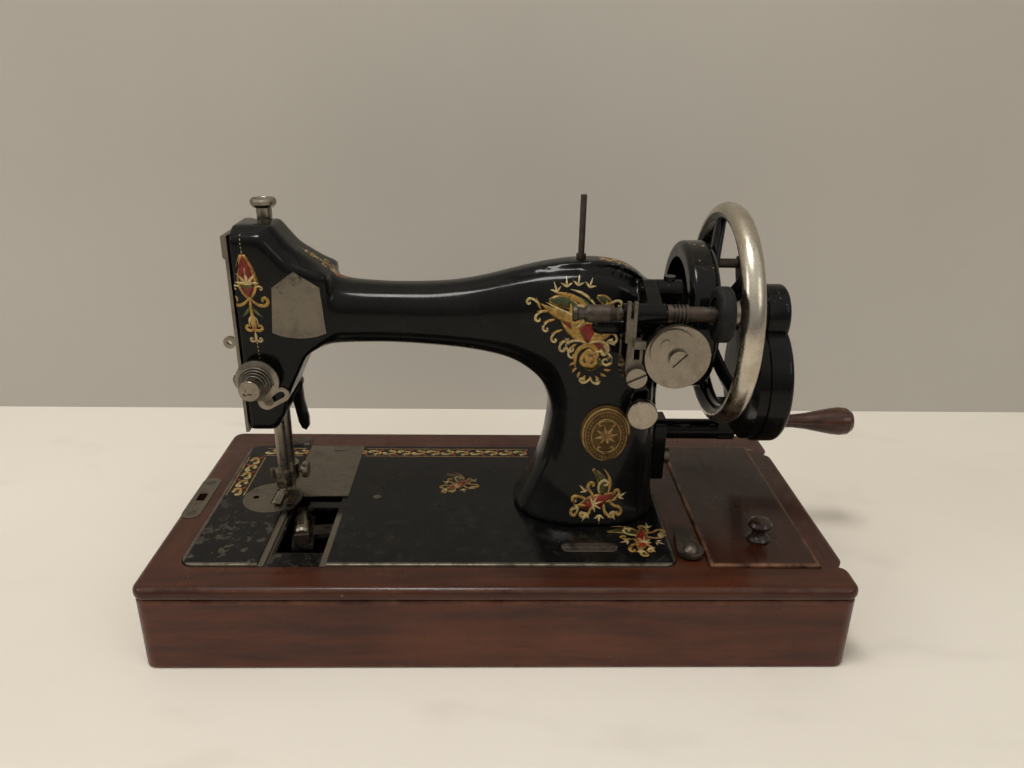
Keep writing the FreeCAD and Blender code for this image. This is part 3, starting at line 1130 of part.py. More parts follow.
def spoke():
    """One dished spoke, bent sideways, lofted through three oval sections."""
    stations = ((HUB_R - 3, HUB_X1 - 14, 0.0), (40.0, RIM_X - 6, 13.0), (RIM_R - 2.0, RIM_X - 1, 20.0))
    wires = []
    for r, x, sweep in stations:
        angle = math.radians(sweep)
        out = V(0, math.sin(angle), math.cos(angle))
        across = V(0, math.cos(angle), -math.sin(angle))
        centre = V(x, MID_Y, SHAFT_Z) + out * r
        oval = Part.Ellipse(centre + across * (SPOKE_W / 2), centre + X_AXIS * (SPOKE_T / 2), centre)
        wires.append(Part.Wire([oval.toShape()]))
    return Part.makeLoft(wires, True, False)


def handwheel():
    """Rim, dished spokes, hub and the hollow pulley drum, one casting."""
    wheel = ellipse_ring(RIM_X, RIM_R, RIM_HALF_W, RIM_HALF_T)
    hub = rod_x(HUB_X0, HUB_X1, MID_Y, SHAFT_Z, HUB_R)
    drum = rod_x(DRUM_X0, DRUM_X1, MID_Y, SHAFT_Z, DRUM_R)
    drum = round_edges(drum, 4.5, lambda b: b.XLength < 0.01)
    drum = drum.cut(rod_x(DRUM_X0 - 1, DRUM_X1 - DRUM_WEB_T, MID_Y, SHAFT_Z, DRUM_MOUTH_R))
    wheel = wheel.fuse(hub).fuse(drum)
    for i in range(SPOKES):
        arm = spoke()
        arm.rotate(V(0, MID_Y, SHAFT_Z), X_AXIS, 360 / SPOKES * i)
        wheel = wheel.fuse(arm)
    wheel = wheel.cut(rod_x(HUB_X0 - 1, HUB_X1 + 1, MID_Y, SHAFT_Z, SHAFT_R))
    return wheel.removeSplitter()


def clutch_nut():
    x0 = HUB_X1 + 0.3
    nut = rod_x(x0, x0 + 6.5, MID_Y, SHAFT_Z, NUT_CLUTCH_R)
    nut = round_edges(nut, 1.0, lambda b: b.XLength < 0.01 and b.ZLength > NUT_CLUTCH_R)
    return nut.cut(rod_x(x0 - 1, x0 + 8, MID_Y, SHAFT_Z, SHAFT_R + RUN_FIT))


# Hand crank

def involute_gear(teeth, x0, x1, y, z, phase_deg, thin):
    """A spur gear with involute flanks; thin narrows each tooth for backlash."""
    pitch_r = GEAR_MODULE * teeth / 2
    pressure = math.radians(20)
    base_r = pitch_r * math.cos(pressure)
    outer_r = pitch_r + GEAR_MODULE * 0.92
    root_r = pitch_r - GEAR_MODULE * 1.22
    start_r = max(base_r, root_r)
    half_pitch = math.pi / teeth / 2 * thin + math.tan(pressure) - pressure
    outline = []
    for tooth in range(teeth):
        centre = math.radians(phase_deg) + 2 * math.pi * tooth / teeth
        flank = []
        for i in range(5):
            r = start_r + (outer_r - start_r) * i / 4
            roll = math.sqrt(max(0.0, (r / base_r) ** 2 - 1))
            flank.append((r, half_pitch - (roll - math.atan(roll))))
        foot = [(root_r, flank[0][1])]
        left = [(r, centre - a) for r, a in foot + flank]
        right = [(r, centre + a) for r, a in reversed(foot + flank)]
        outline += left + right
    corners = [V(x0, y + r * math.cos(a), z + r * math.sin(a)) for r, a in outline]
    return Part.Face(polygon(corners)).extrude(V(x1 - x0, 0, 0))


def crank_gear():
    gear = involute_gear(GEAR_TEETH, GEAR_X0, GEAR_X0 + GEAR_W, MID_Y, CRANK_Z, 90, 0.93)
    gear = gear.cut(ring_x(GEAR_X0 - 1, GEAR_X0 + 2, 11, 27, MID_Y, CRANK_Z))
    shaft = rod_x(CASE_X0 + CASE_WALL + 0.3, CRANK_X0 + CRANK_T + 3, MID_Y, CRANK_Z, CRANK_SHAFT_R)
    return gear.fuse(shaft).removeSplitter()


def ring_x(x0, x1, inner, outer, y, z):
    return rod_x(x0, x1, y, z, outer).cut(rod_x(x0 - 1, x1 + 1, y, z, inner))


def crank_pinion():
    """Pinion, its shaft, and the driver whose finger turns the wheel between two spokes."""
    pinion = involute_gear(PINION_TEETH, GEAR_X0 - 0.5, GEAR_X0 + GEAR_W + 0.5, MID_Y, SHAFT_Z,
                           -90 + 180 / PINION_TEETH, 0.93)
    shaft = rod_x(DRIVER_X0, CASE_X1 - CASE_WALL - 0.2, MID_Y, SHAFT_Z, PINION_SHAFT_R)
    hub = rod_x(DRIVER_X0, DRIVER_X0 + DRIVER_T, MID_Y, SHAFT_Z, 9)
    angle = math.radians(90 - DRIVER_DEG)
    tip_y = MID_Y + DRIVER_R * math.cos(angle)
    tip_z = SHAFT_Z + DRIVER_R * math.sin(angle)
    arm = link_x(MID_Y, SHAFT_Z, 9, tip_y, tip_z, 5, DRIVER_X0, DRIVER_X0 + DRIVER_T)
    finger = rod_x(DRIVER_X0 - 16, DRIVER_X0 + 1, tip_y, tip_z, 3.2)
    return pinion.fuse(shaft).fuse(hub).fuse(arm).fuse(finger).removeSplitter()


def case_outline(x0, x1, inset):
    """The case's outline: a small round over the pinion and a large one over the gear."""
    upper = rod_x(x0, x1, MID_Y, SHAFT_Z, CASE_TOP_R - inset)
    lower = rod_x(x0, x1, MID_Y, CRANK_Z, CASE_LOW_R - inset)
    neck_half = CASE_TOP_R - 3 - inset
    neck = box(x0, x1, MID_Y - neck_half, MID_Y + neck_half, CRANK_Z, SHAFT_Z)
    return upper.fuse(lower).fuse(neck).removeSplitter()


def crank_case():
    """Inner half of the gear case, the support bar under the wheel and the bolted foot."""
    shell = case_outline(CASE_X0, CASE_SPLIT_X, 1.5)
    shell = shell.cut(case_outline(CASE_X0 + CASE_WALL, CASE_SPLIT_X + 1, CASE_WALL + 1.0))
    boss = rod_x(CASE_X0, CASE_X0 + CASE_WALL, MID_Y, CRANK_Z, 12)
    bar = rod_x(FOOT_X0 + 4, CASE_X0 + 2, SUPPORT_Y, SUPPORT_Z, SUPPORT_R)
    knee = box(CASE_X0 - 10, CASE_X0 + 1, SUPPORT_Y - 7, SUPPORT_Y + 7, SUPPORT_Z - 5, SUPPORT_Z + 22)
    slope = box(-40, 0, -20, 20, 0, 40)
    slope.rotate(V(0, 0, 0), Y_AXIS, 62)
    slope.translate(V(CASE_X0 - 1, SUPPORT_Y, SUPPORT_Z + 26))
    knee = knee.cut(slope)
    foot = box(FOOT_X0, FOOT_X0 + FOOT_T, SUPPORT_Y - 11, SUPPORT_Y + 11, 76, SUPPORT_Z + 10)
    foot = round_edges(foot, 5, lambda b: b.XLength > FOOT_T * 0.9 and b.YLength < 0.01)
    body = shell.fuse(boss).fuse(bar).fuse(knee).fuse(foot)
    body = body.cut(rod_x(CASE_X0 - 1, CASE_SPLIT_X, MID_Y, SHAFT_Z, PINION_SHAFT_R + RUN_FIT))
    return body.cut(rod_x(FOOT_X0 - 1, FOOT_X0 + FOOT_T + 1, SUPPORT_Y, FOOT_BOLT_Z, 3.0)).removeSplitter()


def crank_cover():
    shell = case_outline(CASE_SPLIT_X, CASE_X1, 0)
    shell = round_edges(shell, 3.5, lambda b: b.XMin > CASE_X1 - 0.01)
    shell = shell.cut(case_outline(CASE_SPLIT_X - 1, CASE_X1 - CASE_WALL, CASE_WALL + 1.0))
    return shell.cut(rod_x(CASE_SPLIT_X, CASE_X1 + 1, MID_Y, CRANK_Z, CRANK_SHAFT_R + RUN_FIT))


def crank_arm():
    x1 = CRANK_X0 + CRANK_T
    arm = link_x(MID_Y, CRANK_Z, 10.5, GRIP_Y, GRIP_Z, 7.0, CRANK_X0, x1)
    arm = arm.fuse(rod_x(CRANK_X0, x1 + 3, MID_Y, CRANK_Z, 10.5))
    arm = arm.cut(rod_x(CRANK_X0 - 1, x1 + 4, MID_Y, CRANK_Z, CRANK_SHAFT_R))
    pin = rod_x(CRANK_X0, GRIP_X1 - 4, GRIP_Y, GRIP_Z, GRIP_PIN_R)
    return arm.fuse(pin).removeSplitter()


def crank_grip():
    x0 = CRANK_X0 + CRANK_T + 0.6
    length = GRIP_X1 - x0
    profile = [(0, 0), (0, GRIP_NECK_R + 0.8), (3, GRIP_NECK_R + 0.9), (6, GRIP_NECK_R), (length - 48, GRIP_NECK_R),
               (length - 38, 6.3), (length - 28, 8.3), (length - 18, 10.2), (length - 11.5, GRIP_R),
               (length - 6, 10.3), (length - 2.4, 7.9), (length - 0.5, 3.6), (length, 0)]
    grip = turned(profile, V(x0, GRIP_Y, GRIP_Z), X_AXIS)
    return grip.cut(rod_x(x0 - 1, GRIP_X1 - 3.6, GRIP_Y, GRIP_Z, GRIP_PIN_R + RUN_FIT))


# Fittings of the pillar

def badge():
    """The oval medallion, bent to the pillar's front."""
    loft = arm_loft()
    oval = Part.Ellipse(V(69.5, -60, 129.5 + 20.0), V(69.5 + 16.4, -60, 129.5), V(69.5, -60, 129.5))
    prism = Part.Face(Part.Wire([oval.toShape()])).extrude(V(0, 50, 0))
    outer = loft.copy()
    outer.translate(V(0, -1.3, 0))
    return prism.common(outer).cut(loft)


def stitch_regulator():
    front = -42.5
    cap = rod_y(front, front + 6.5, REGULATOR_X, REGULATOR_Z, REGULATOR_R)
    cap = round_edges(cap, 1.0, lambda b: b.YLength < 0.01)
    shank = rod_y(front + 6.5, -14, REGULATOR_X, REGULATOR_Z, 4.0)
    return cap.fuse(shank).removeSplitter()


# Bobbin winder

def winder_bracket():
    """The lug bolted to the arm's end, and the pin on which the winder tips."""
    body = box(93, 108, TILT_Y - 1, -34.2, TILT_Z - 11, TILT_Z + 1)
    body = body.fuse(rod_x(93, 108, TILT_Y, TILT_Z, 6.5))
    body = body.fuse(rod_x(83.5, 108, TILT_Y, TILT_Z, TILT_PIN_R))
    top = rod_z(TILT_Z + 4, TILT_Z + 8.5, 101, TILT_Y + 1, 3.6)
    return body.fuse(top).removeSplitter()


def winder_frame():
    """Sleeve for the spindle, ear on the tipping pin, lower bar and the lug for the thread guide."""
    sleeve = rod_x(70, 94.5, WINDER_Y, WINDER_Z, 6.2)
    ear = link_x(WINDER_Y, WINDER_Z, 6.2, TILT_Y, TILT_Z, 6.5, 84.5, 92.6)
    bar_y = -53.0
    bar_z = 209.8
    bar = rod_x(59, 96, bar_y, bar_z, 5.0)
    bar = bar.fuse(Part.makeSphere(5.0, V(59, bar_y, bar_z)))
    web = link_x(WINDER_Y, WINDER_Z, 5.0, bar_y, bar_z, 4.6, 71, 83)
    hanger = box(72, 83, bar_y - 4, bar_y + 3, GUIDE_Z - 6, bar_z)
    lug = box(72, 83, -73, bar_y + 3, GUIDE_Z - 6, GUIDE_Z + 6)
    cam_post = box(86, 96, bar_y - 4.6, bar_y + 3, CAM_Z - 7, bar_z)
    cam_boss = rod_y(-60, bar_y + 3, CAM_X, CAM_Z, 8)
    cam_web = box(90, CAM_X, -58, bar_y + 3, CAM_Z - 6, CAM_Z + 6)
    body = sleeve.fuse(ear).fuse(bar).fuse(web).fuse(hanger).fuse(lug).fuse(cam_post).fuse(cam_boss).fuse(cam_web)
    body = body.cut(rod_x(60, 100, WINDER_Y, WINDER_Z, SPINDLE_R + RUN_FIT))
    body = body.cut(rod_x(80, 100, TILT_Y, TILT_Z, TILT_PIN_R + RUN_FIT))
    body = body.cut(rod_y(-75, -66, GUIDE_X, GUIDE_Z, CAM_STUD_R))
    return body.cut(rod_y(-61, -52, CAM_X, CAM_Z, CAM_STUD_R)).removeSplitter()


def winder_screws():
    """Two slotted shoulder screws: the cam wheel's axle and the guide's pivot."""
    cam = slotted_screw_y(CAM_X, CAM_Z, -85.0, 5.6, 2.8, CAM_STUD_R, 30.0, 45)
    guide = slotted_screw_y(GUIDE_X, GUIDE_Z, -83.0, 6.0, 3.4, CAM_STUD_R, 13.0, 25)
    return Part.makeCompound([cam, guide])


def winder_spindle():
    """Bobbin holder, spindle, worm and the hub that carries the tyre."""
    holder = [(0, 0), (0, 4.6), (2, 4.9), (3, 4.0), (6, 3.4), (8, 4.9), (10, 5.2), (21, 5.2), (23, 4.4), (25, 3.4),
              (26.5, 4.4), (28, 4.4), (28, 0)]
    body = turned(holder, V(41.2, WINDER_Y, WINDER_Z), X_AXIS)
    body = body.fuse(rod_x(60, 136, WINDER_Y, WINDER_Z, SPINDLE_R))
    worm = rod_x(95.6, 108, WINDER_Y, WINDER_Z, WORM_R)
    for i in range(4):
        x = 98.6 + i * 2.2
        worm = worm.cut(ring_x(x, x + 1.0, WORM_R - 1.1, WORM_R + 1, WINDER_Y, WINDER_Z))
    body = body.fuse(worm).fuse(rod_x(108, TYRE_X0, WINDER_Y, WINDER_Z, 4.5))
    hub = rod_x(TYRE_X0 + 1.5, TYRE_X0 + TYRE_W - 1.5, WINDER_Y, WINDER_Z, TYRE_HUB_R)
    return body.fuse(hub).removeSplitter()


def winder_tyre():
    tyre = ring_x(TYRE_X0, TYRE_X0 + TYRE_W, TYRE_HUB_R, TYRE_R, WINDER_Y, WINDER_Z)
    return round_edges(tyre, 2.4, lambda b: b.XLength < 0.01 and b.ZLength > TYRE_R * 1.9)


def winder_cam():
    """Worm wheel, front disc and the raised heart plate."""
    wheel = rod_y(-80, -75.5, CAM_X, CAM_Z, CAM_R).fuse(rod_y(-75.5, -61, CAM_X, CAM_Z, CAM_GEAR_R))
    wheel = wheel.fuse(rod_y(-82, -80, CAM_X + HEART_DX, CAM_Z + HEART_DZ, HEART_R))
    wheel = wheel.fuse(rod_y(-82.8, -82, CAM_X - 7.8, CAM_Z + 8.5, 2.9))
    return wheel.cut(rod_y(-90, -50, CAM_X, CAM_Z, CAM_STUD_R + RUN_FIT)).removeSplitter()


def winder_guide():
    """The plate on its shoulder screw, the follower arm and the two-pronged thread finger."""
    y0 = -79.4
    y1 = -76.6
    plate = plate_xz([(71.5, 191), (72.0, 208), (74.0, 210.5), (79.5, 210.5), (80.6, 207), (80.6, 196), (83.5, 190),
                      (82.5, 184), (77.8, 181), (73, 184)], y0, y1)
    finger = box(70.4, 76.2, y0, y1, 208, 232)
    finger = finger.cut(box(72.4, 74.2, y0 - 1, y1 + 1, 222, 233))
    follower = box(75, 81.6, -82.6, -80.6, 205.4, 210.0).fuse(box(75, 79, -82.6, y1, 205.4, 210.0))
    body = plate.fuse(finger).fuse(follower)
    body = body.cut(slot_window(77.4, 201, y0, y1))
    return body.cut(rod_y(-90, -70, GUIDE_X, GUIDE_Z, CAM_STUD_R + RUN_FIT)).removeSplitter()


def slot_window(x, z, y0, y1):
    return box(x - 1.7, x + 1.7, y0 - 1, y1 + 1, z - 3, z + 3.5)


def build():
    nodes = {}
    nodes.update(base_boards())
    nodes.update(frame_rails())
    for maker in (floor_board, lock_plate, base_fasteners, bed_hinges, bed_catch, lid_panel, lid_knob):
        nodes[maker.__name__] = maker()
    machine = (bed, arm_casting, faceplate, needle_plate, feed_dog, arm_plate, tension_discs, tension_spring,
               tension_nut, check_spring, slack_plate, spool_pin, presser_bar, presser_foot, presser_foot_screw,
               pressure_screw, presser_lifter, needle_bar, needle_clamp, needle, take_up_lever, main_shaft,
               handwheel, clutch_nut, slide_plate, shuttle, shuttle_carrier, badge, stitch_regulator,
               winder_bracket, winder_frame, winder_spindle, winder_tyre, winder_cam, winder_guide, winder_screws,
               crank_case, crank_cover, crank_gear, crank_pinion, crank_arm, crank_grip, head_screws, rock_shafts)
    for maker in machine:
        shape = maker()
        shape.translate(V(0, 0, BED_TOP - BED_DATUM))
        nodes[maker.__name__] = shape
    return nodes


os.makedirs("parts", exist_ok=True)
for name, shape in build().items():
    shape.exportStep("parts/" + name + ".step")
    state = "ok" if shape.isValid() else "NOT VALID"
    print(name, "solids", len(shape.Solids), "volume", round(shape.Volume), state)
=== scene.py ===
import math

import bmesh
import bpy
from mathutils import Matrix, Vector
from mathutils.bvhtree import BVHTree


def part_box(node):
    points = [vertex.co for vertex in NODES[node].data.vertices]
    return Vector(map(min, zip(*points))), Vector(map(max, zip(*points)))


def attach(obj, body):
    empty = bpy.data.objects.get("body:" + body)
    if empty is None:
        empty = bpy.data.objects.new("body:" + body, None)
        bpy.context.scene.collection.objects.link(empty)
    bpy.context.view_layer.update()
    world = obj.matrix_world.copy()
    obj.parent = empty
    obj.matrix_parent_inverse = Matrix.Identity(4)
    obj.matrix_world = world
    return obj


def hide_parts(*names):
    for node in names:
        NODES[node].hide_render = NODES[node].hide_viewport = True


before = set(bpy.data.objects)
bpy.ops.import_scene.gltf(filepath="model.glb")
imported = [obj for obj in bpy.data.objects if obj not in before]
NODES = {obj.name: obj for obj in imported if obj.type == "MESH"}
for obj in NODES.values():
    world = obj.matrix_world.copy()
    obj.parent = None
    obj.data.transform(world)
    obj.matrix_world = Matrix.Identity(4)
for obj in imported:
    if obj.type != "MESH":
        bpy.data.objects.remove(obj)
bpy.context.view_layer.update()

MM = 0.001

# Places on the machine that more than one finish or piece needs, in metres
AXLE_Y, AXLE_Z = -0.002, 0.202
RIM_X, RIM_RADIUS = 0.1465, 0.0666
BED_TOP = 0.0615
SLOT_X, SLOT_Z = 0.0915, 0.1455
SLOT_HALF_WIDTH, SLOT_HALF_LENGTH = 0.005, 0.0101
SLOT_FRONT, SLOT_BACK = -0.038, -0.0125
PAD_X, PAD_Y = 0.0592, -0.0655
PAD_LENGTH, PAD_WIDTH = 0.0375, 0.0095
PAD_STRAIGHT, PAD_END = 0.0145, 0.00425
WALL_Y = 0.292


# Materials: small helpers for node trees

class Tree:
    """Adds nodes to a node tree and links them, with plain values or sockets as inputs."""

    def __init__(self, tree):
        self.tree = tree

    def feed(self, socket, value):
        """Links an input to another node's output, or sets it to a plain value."""
        if isinstance(value, bpy.types.NodeSocket):
            self.tree.links.new(value, socket)
        else:
            socket.default_value = value

    def add(self, kind, inputs=None, **settings):
        node = self.tree.nodes.new(kind)
        for name, value in settings.items():
            setattr(node, name, value)
        for key, value in (inputs or {}).items():
            self.feed(node.inputs[key], value)
        return node

    def math(self, operation, *values, clamp=False):
        node = self.add("ShaderNodeMath", operation=operation, use_clamp=clamp)
        for socket, value in zip(node.inputs, values):
            self.feed(socket, value)
        return node.outputs[0]

    def ramp(self, value, low, high, out_low=0.0, out_high=1.0):
        """Fades from out_low to out_high while value goes from low to high."""
        limits = {"Value": value, "From Min": low, "From Max": high, "To Min": out_low, "To Max": out_high}
        return self.add("ShaderNodeMapRange", limits, interpolation_type="SMOOTHSTEP").outputs[0]

    def strip(self, value, low, high, soft):
        """1 between low and high, fading to 0 over soft at each side."""
        return self.math("MULTIPLY", self.ramp(value, low, low + soft), self.ramp(value, high, high - soft))

    def mix(self, share, a, b):
        """Colour a where share is 0 and colour b where it is 1."""
        return self.add("ShaderNodeMix", {0: share, 6: a, 7: b}, data_type="RGBA").outputs[2]

    def noise(self, vector, scale, detail=4.0, roughness=0.6):
        settings = {"Vector": vector, "Scale": scale, "Detail": detail, "Roughness": roughness}
        return self.add("ShaderNodeTexNoise", settings).outputs["Fac"]


def colour(red, green, blue):
    return (red, green, blue, 1.0)


def new_group(name, inputs, outputs):
    """A shader group with named float, colour or vector sockets."""
    group = bpy.data.node_groups.new(name, "ShaderNodeTree")
    kinds = {"float": "NodeSocketFloat", "colour": "NodeSocketColor", "vector": "NodeSocketVector"}
    for label, kind, value in inputs:
        socket = group.interface.new_socket(label, in_out="INPUT", socket_type=kinds[kind])
        if value is not None:
            socket.default_value = value
    for label, kind in outputs:
        group.interface.new_socket(label, in_out="OUTPUT", socket_type=kinds[kind])
    tree = Tree(group)
    return group, tree, tree.add("NodeGroupInput").outputs, tree.add("NodeGroupOutput").inputs


def finish_group(group, outputs, values):
    for label, value in values.items():
        group.links.new(value, outputs[label])
    return group


def patina_group():
    """Blotches: Scale is how many to the metre, Cover is the share that they cover."""
    group, t, given, out = new_group("patina", [("Vector", "vector", None), ("Scale", "float", 60.0),
                                                ("Cover", "float", 0.3), ("Blur", "float", 0.08)],
                                     [("Mask", "float")])
    blotch = t.noise(given["Vector"], given["Scale"], 8.0, 0.68)
    highest, span = 0.72, 0.42
    level = t.math("SUBTRACT", highest, t.math("MULTIPLY", given["Cover"], span))
    edge = t.math("ADD", level, given["Blur"])
    share = t.math("DIVIDE", t.math("SUBTRACT", blotch, level), t.math("SUBTRACT", edge, level), clamp=True)
    return finish_group(group, out, {"Mask": share})


def specks_group():
    """Small sharp chips or rust specks."""
    group, t, given, out = new_group("specks", [("Vector", "vector", None), ("Scale", "float", 400.0),
                                                ("Cover", "float", 0.1)], [("Mask", "float")])
    cells = t.add("ShaderNodeTexVoronoi", {"Vector": given["Vector"], "Scale": given["Scale"], "Randomness": 1.0})
    field = t.noise(given["Vector"], t.math("MULTIPLY", given["Scale"], 0.11), 3.0, 0.6)
    reach = t.math("MULTIPLY", t.ramp(field, 0.5, 0.75), given["Cover"])
    mask = t.math("SUBTRACT", reach, cells.outputs["Distance"])
    return finish_group(group, out, {"Mask": t.math("MULTIPLY", mask, 14.0, clamp=True)})


def scratches_group():
    """Fine straight scratches, mostly along one way."""
    group, t, given, out = new_group("scratches", [("Vector", "vector", None), ("Scale", "float", 60.0),
                                                   ("Turn", "float", 0.0)], [("Mask", "float")])
    turned = t.add("ShaderNodeVectorRotate", {"Vector": given["Vector"], "Angle": given["Turn"]},
                   rotation_type="Z_AXIS")
    stretch = t.add("ShaderNodeMapping", {"Vector": turned.outputs[0], "Scale": (1.0, 26.0, 26.0)})
    fine = t.noise(stretch.outputs[0], given["Scale"], 2.0, 0.5)
    where = t.noise(given["Vector"], 22.0, 3.0, 0.6)
    line = t.ramp(fine, 0.70, 0.74)
    return finish_group(group, out, {"Mask": t.math("MULTIPLY", line, t.ramp(where, 0.45, 0.62))})


def grain_group():
    """Wood grain running along X: figure, dark pores and a broad shade."""
    group, t, given, out = new_group("grain", [("Vector", "vector", None), ("Size", "float", 1.0)],
                                     [("Figure", "float"), ("Pores", "float"), ("Shade", "float")])
    sized = t.add("ShaderNodeVectorMath", {0: given["Vector"], "Scale": given["Size"]}, operation="SCALE")
    along = t.add("ShaderNodeMapping", {"Vector": sized.outputs[0], "Scale": (0.11, 1.0, 1.0)})
    sway = t.noise(along.outputs[0], 26.0, 3.0, 0.5)
    sideways = t.math("MULTIPLY", sway, 0.02)
    push = t.add("ShaderNodeCombineXYZ", {"Y": sideways, "Z": sideways})
    bent = t.add("ShaderNodeVectorMath", {0: along.outputs[0], 1: push.outputs[0]}, operation="ADD")
    figure = t.noise(bent.outputs[0], 130.0, 5.0, 0.62)
    long_way = t.add("ShaderNodeMapping", {"Vector": sized.outputs[0], "Scale": (0.035, 1.0, 1.0)})
    pores = t.noise(long_way.outputs[0], 900.0, 2.0, 0.5)
    shade = t.noise(along.outputs[0], 30.0, 3.0, 0.5)
    return finish_group(group, out, {"Figure": figure, "Pores": t.ramp(pores, 0.60, 0.72), "Shade": shade})


def edge_group():
    """How near a point is to the edges of a block: 1 at an edge, 0 further from it than Width."""
    group, t, given, out = new_group("block_edge", [("Vector", "vector", None), ("Low", "vector", None),
                                                    ("High", "vector", None), ("Width", "float", 0.003)],
                                     [("Mask", "float")])
    point = t.add("ShaderNodeSeparateXYZ", {"Vector": given["Vector"]}).outputs
    low = t.add("ShaderNodeSeparateXYZ", {"Vector": given["Low"]}).outputs
    high = t.add("ShaderNodeSeparateXYZ", {"Vector": given["High"]}).outputs
    near = []
    for axis in (0, 1, 2):
        a = t.math("SUBTRACT", point[axis], low[axis])
        b = t.math("SUBTRACT", high[axis], point[axis])
        near.append(t.math("SUBTRACT", 1.0, t.math("DIVIDE", t.math("MINIMUM", a, b), given["Width"]), clamp=True))
    pairs = [t.math("MULTIPLY", near[0], near[1]), t.math("MULTIPLY", near[1], near[2]),
             t.math("MULTIPLY", near[0], near[2])]
    most = t.math("MAXIMUM", t.math("MAXIMUM", pairs[0], pairs[1]), pairs[2])
    return finish_group(group, out, {"Mask": most})


GROUPS = {"patina": patina_group(), "specks": specks_group(), "scratches": scratches_group(),
          "grain": grain_group(), "edge": edge_group()}


class Finish(Tree):
    """A material under construction, with its Principled shader and object coordinates."""

    def __init__(self, name, **constants):
        self.material = bpy.data.materials.new(name)
        self.material.use_nodes = True
        super().__init__(self.material.node_tree)
        self.shader = self.tree.nodes["Principled BSDF"]
        for key, value in constants.items():
            self.shader.inputs[key.replace("_", " ")].default_value = value
        self.place = self.add("ShaderNodeTexCoord").outputs["Object"]

    def use(self, group, **inputs):
        inputs.setdefault("Vector", self.place)
        node = self.add("ShaderNodeGroup", node_tree=GROUPS[group])
        for key, value in inputs.items():
            self.feed(node.inputs[key], value)
        return node.outputs

    def axes(self):
        return self.add("ShaderNodeSeparateXYZ", {"Vector": self.place}).outputs

    def set(self, socket, value):
        self.tree.links.new(value, self.shader.inputs[socket])

    def bump(self, height, distance, strength=0.6):
        node = self.add("ShaderNodeBump", {"Height": height, "Distance": distance, "Strength": strength})
        self.set("Normal", node.outputs[0])


def mahogany(name, along, low, high, tone=1.0, worn=0.8, polish=0.5):
    """Old shellacked mahogany with its grain along X or Y, worn pale at its edges: the pale edges are partly real
    wear and partly a painted highlight.
    """
    f = Finish(name, Coat_Roughness=0.12, Specular_IOR_Level=0.2)
    turn = {"X": (0.0, 0.0, 0.0), "Y": (0.0, 0.0, math.pi / 2)}[along]
    grained = f.add("ShaderNodeMapping", {"Vector": f.place, "Rotation": turn}).outputs[0]
    grain = f.use("grain", Vector=grained)
    dark = colour(0.020 * tone, 0.0070 * tone, 0.0042 * tone)
    red = colour(0.090 * tone, 0.0235 * tone, 0.0105 * tone)
    warm = colour(0.145 * tone, 0.042 * tone, 0.016 * tone)
    base = f.mix(f.ramp(grain["Figure"], 0.30, 0.66, 0.35, 1.0), dark, red)
    base = f.mix(f.ramp(grain["Shade"], 0.50, 0.80, 0.0, 0.5), base, warm)
    base = f.mix(f.math("MULTIPLY", grain["Pores"], 0.45), base, dark)
    grime = f.use("patina", Scale=14.0, Cover=0.6, Blur=0.25)["Mask"]
    base = f.mix(f.math("MULTIPLY", grime, 0.4), base, colour(0.030 * tone, 0.016 * tone, 0.011 * tone))
    # Pale edge band: partly real wear and partly a painted highlight along the block's edges.
    edge = f.use("edge", Low=low, High=high, Width=0.0040)["Mask"]
    rub = f.use("patina", Scale=60.0, Cover=0.7, Blur=0.25)["Mask"]
    rubbed = f.math("MULTIPLY", f.math("MULTIPLY", f.ramp(edge, 0.20, 0.75), rub), worn)
    base = f.mix(rubbed, base, colour(0.21, 0.098, 0.05))
    marks = f.use("scratches", Vector=grained, Scale=34.0, Turn=0.5)["Mask"]
    base = f.mix(f.math("MULTIPLY", marks, 0.35), base, colour(0.20, 0.10, 0.06))
    chips = f.use("specks", Scale=150.0, Cover=0.22)["Mask"]
    base = f.mix(f.math("MULTIPLY", chips, 0.5), base, colour(0.17, 0.085, 0.05))
    f.set("Base Color", base)
    fine = f.noise(f.place, 60.0, 5.0, 0.65)
    dulled = f.math("MULTIPLY", f.math("ADD", rubbed, grime), 0.12)
    rough = f.math("ADD", f.ramp(fine, 0.3, 0.75, 0.24, 0.42), dulled)
    f.set("Roughness", rough)
    f.set("Coat Weight", f.math("SUBTRACT", polish, f.math("MULTIPLY", grime, polish * 0.6)))
    height = f.math("SUBTRACT", f.math("MULTIPLY", grain["Figure"], 0.35), f.math("MULTIPLY", grain["Pores"], 0.5))
    f.bump(f.math("SUBTRACT", height, f.math("MULTIPLY", chips, 0.6)), 0.0002, 0.35)
    return f.material


def japan_paint(f, chip_cover=0.10, dust=0.25):
    """Black japan over iron: returns its colour, roughness and the bare-metal mask."""
    dull = f.use("patina", Scale=28.0, Cover=0.5, Blur=0.25)["Mask"]
    chips = f.use("specks", Scale=330.0, Cover=chip_cover)["Mask"]
    black = f.mix(dull, colour(0.0032, 0.0033, 0.0034), colour(0.0075, 0.0068, 0.0058))
    grey = f.noise(f.place, 160.0, 5.0, 0.7)
    black = f.mix(f.ramp(grey, 0.5, 0.95, 0.0, dust), black, colour(0.034, 0.029, 0.023))
    base = f.mix(chips, black, colour(0.16, 0.135, 0.105))
    fine = f.noise(f.place, 45.0, 6.0, 0.65)
    rough = f.ramp(fine, 0.3, 0.75, 0.13, 0.32)
    return base, rough, chips


def black_japan(name, chip_cover=0.10, dust=0.25):
    f = Finish(name, Coat_Weight=0.2, Coat_Roughness=0.06, Specular_IOR_Level=0.08)
    base, rough, chips = japan_paint(f, chip_cover, dust)
    f.set("Base Color", base)
    f.set("Roughness", rough)
    f.set("Metallic", f.math("MULTIPLY", chips, 0.8))
    height = f.math("SUBTRACT", f.noise(f.place, 210.0, 3.0, 0.5), f.math("MULTIPLY", chips, 0.9))
    f.bump(height, 0.00012, 0.35)
    return f.material


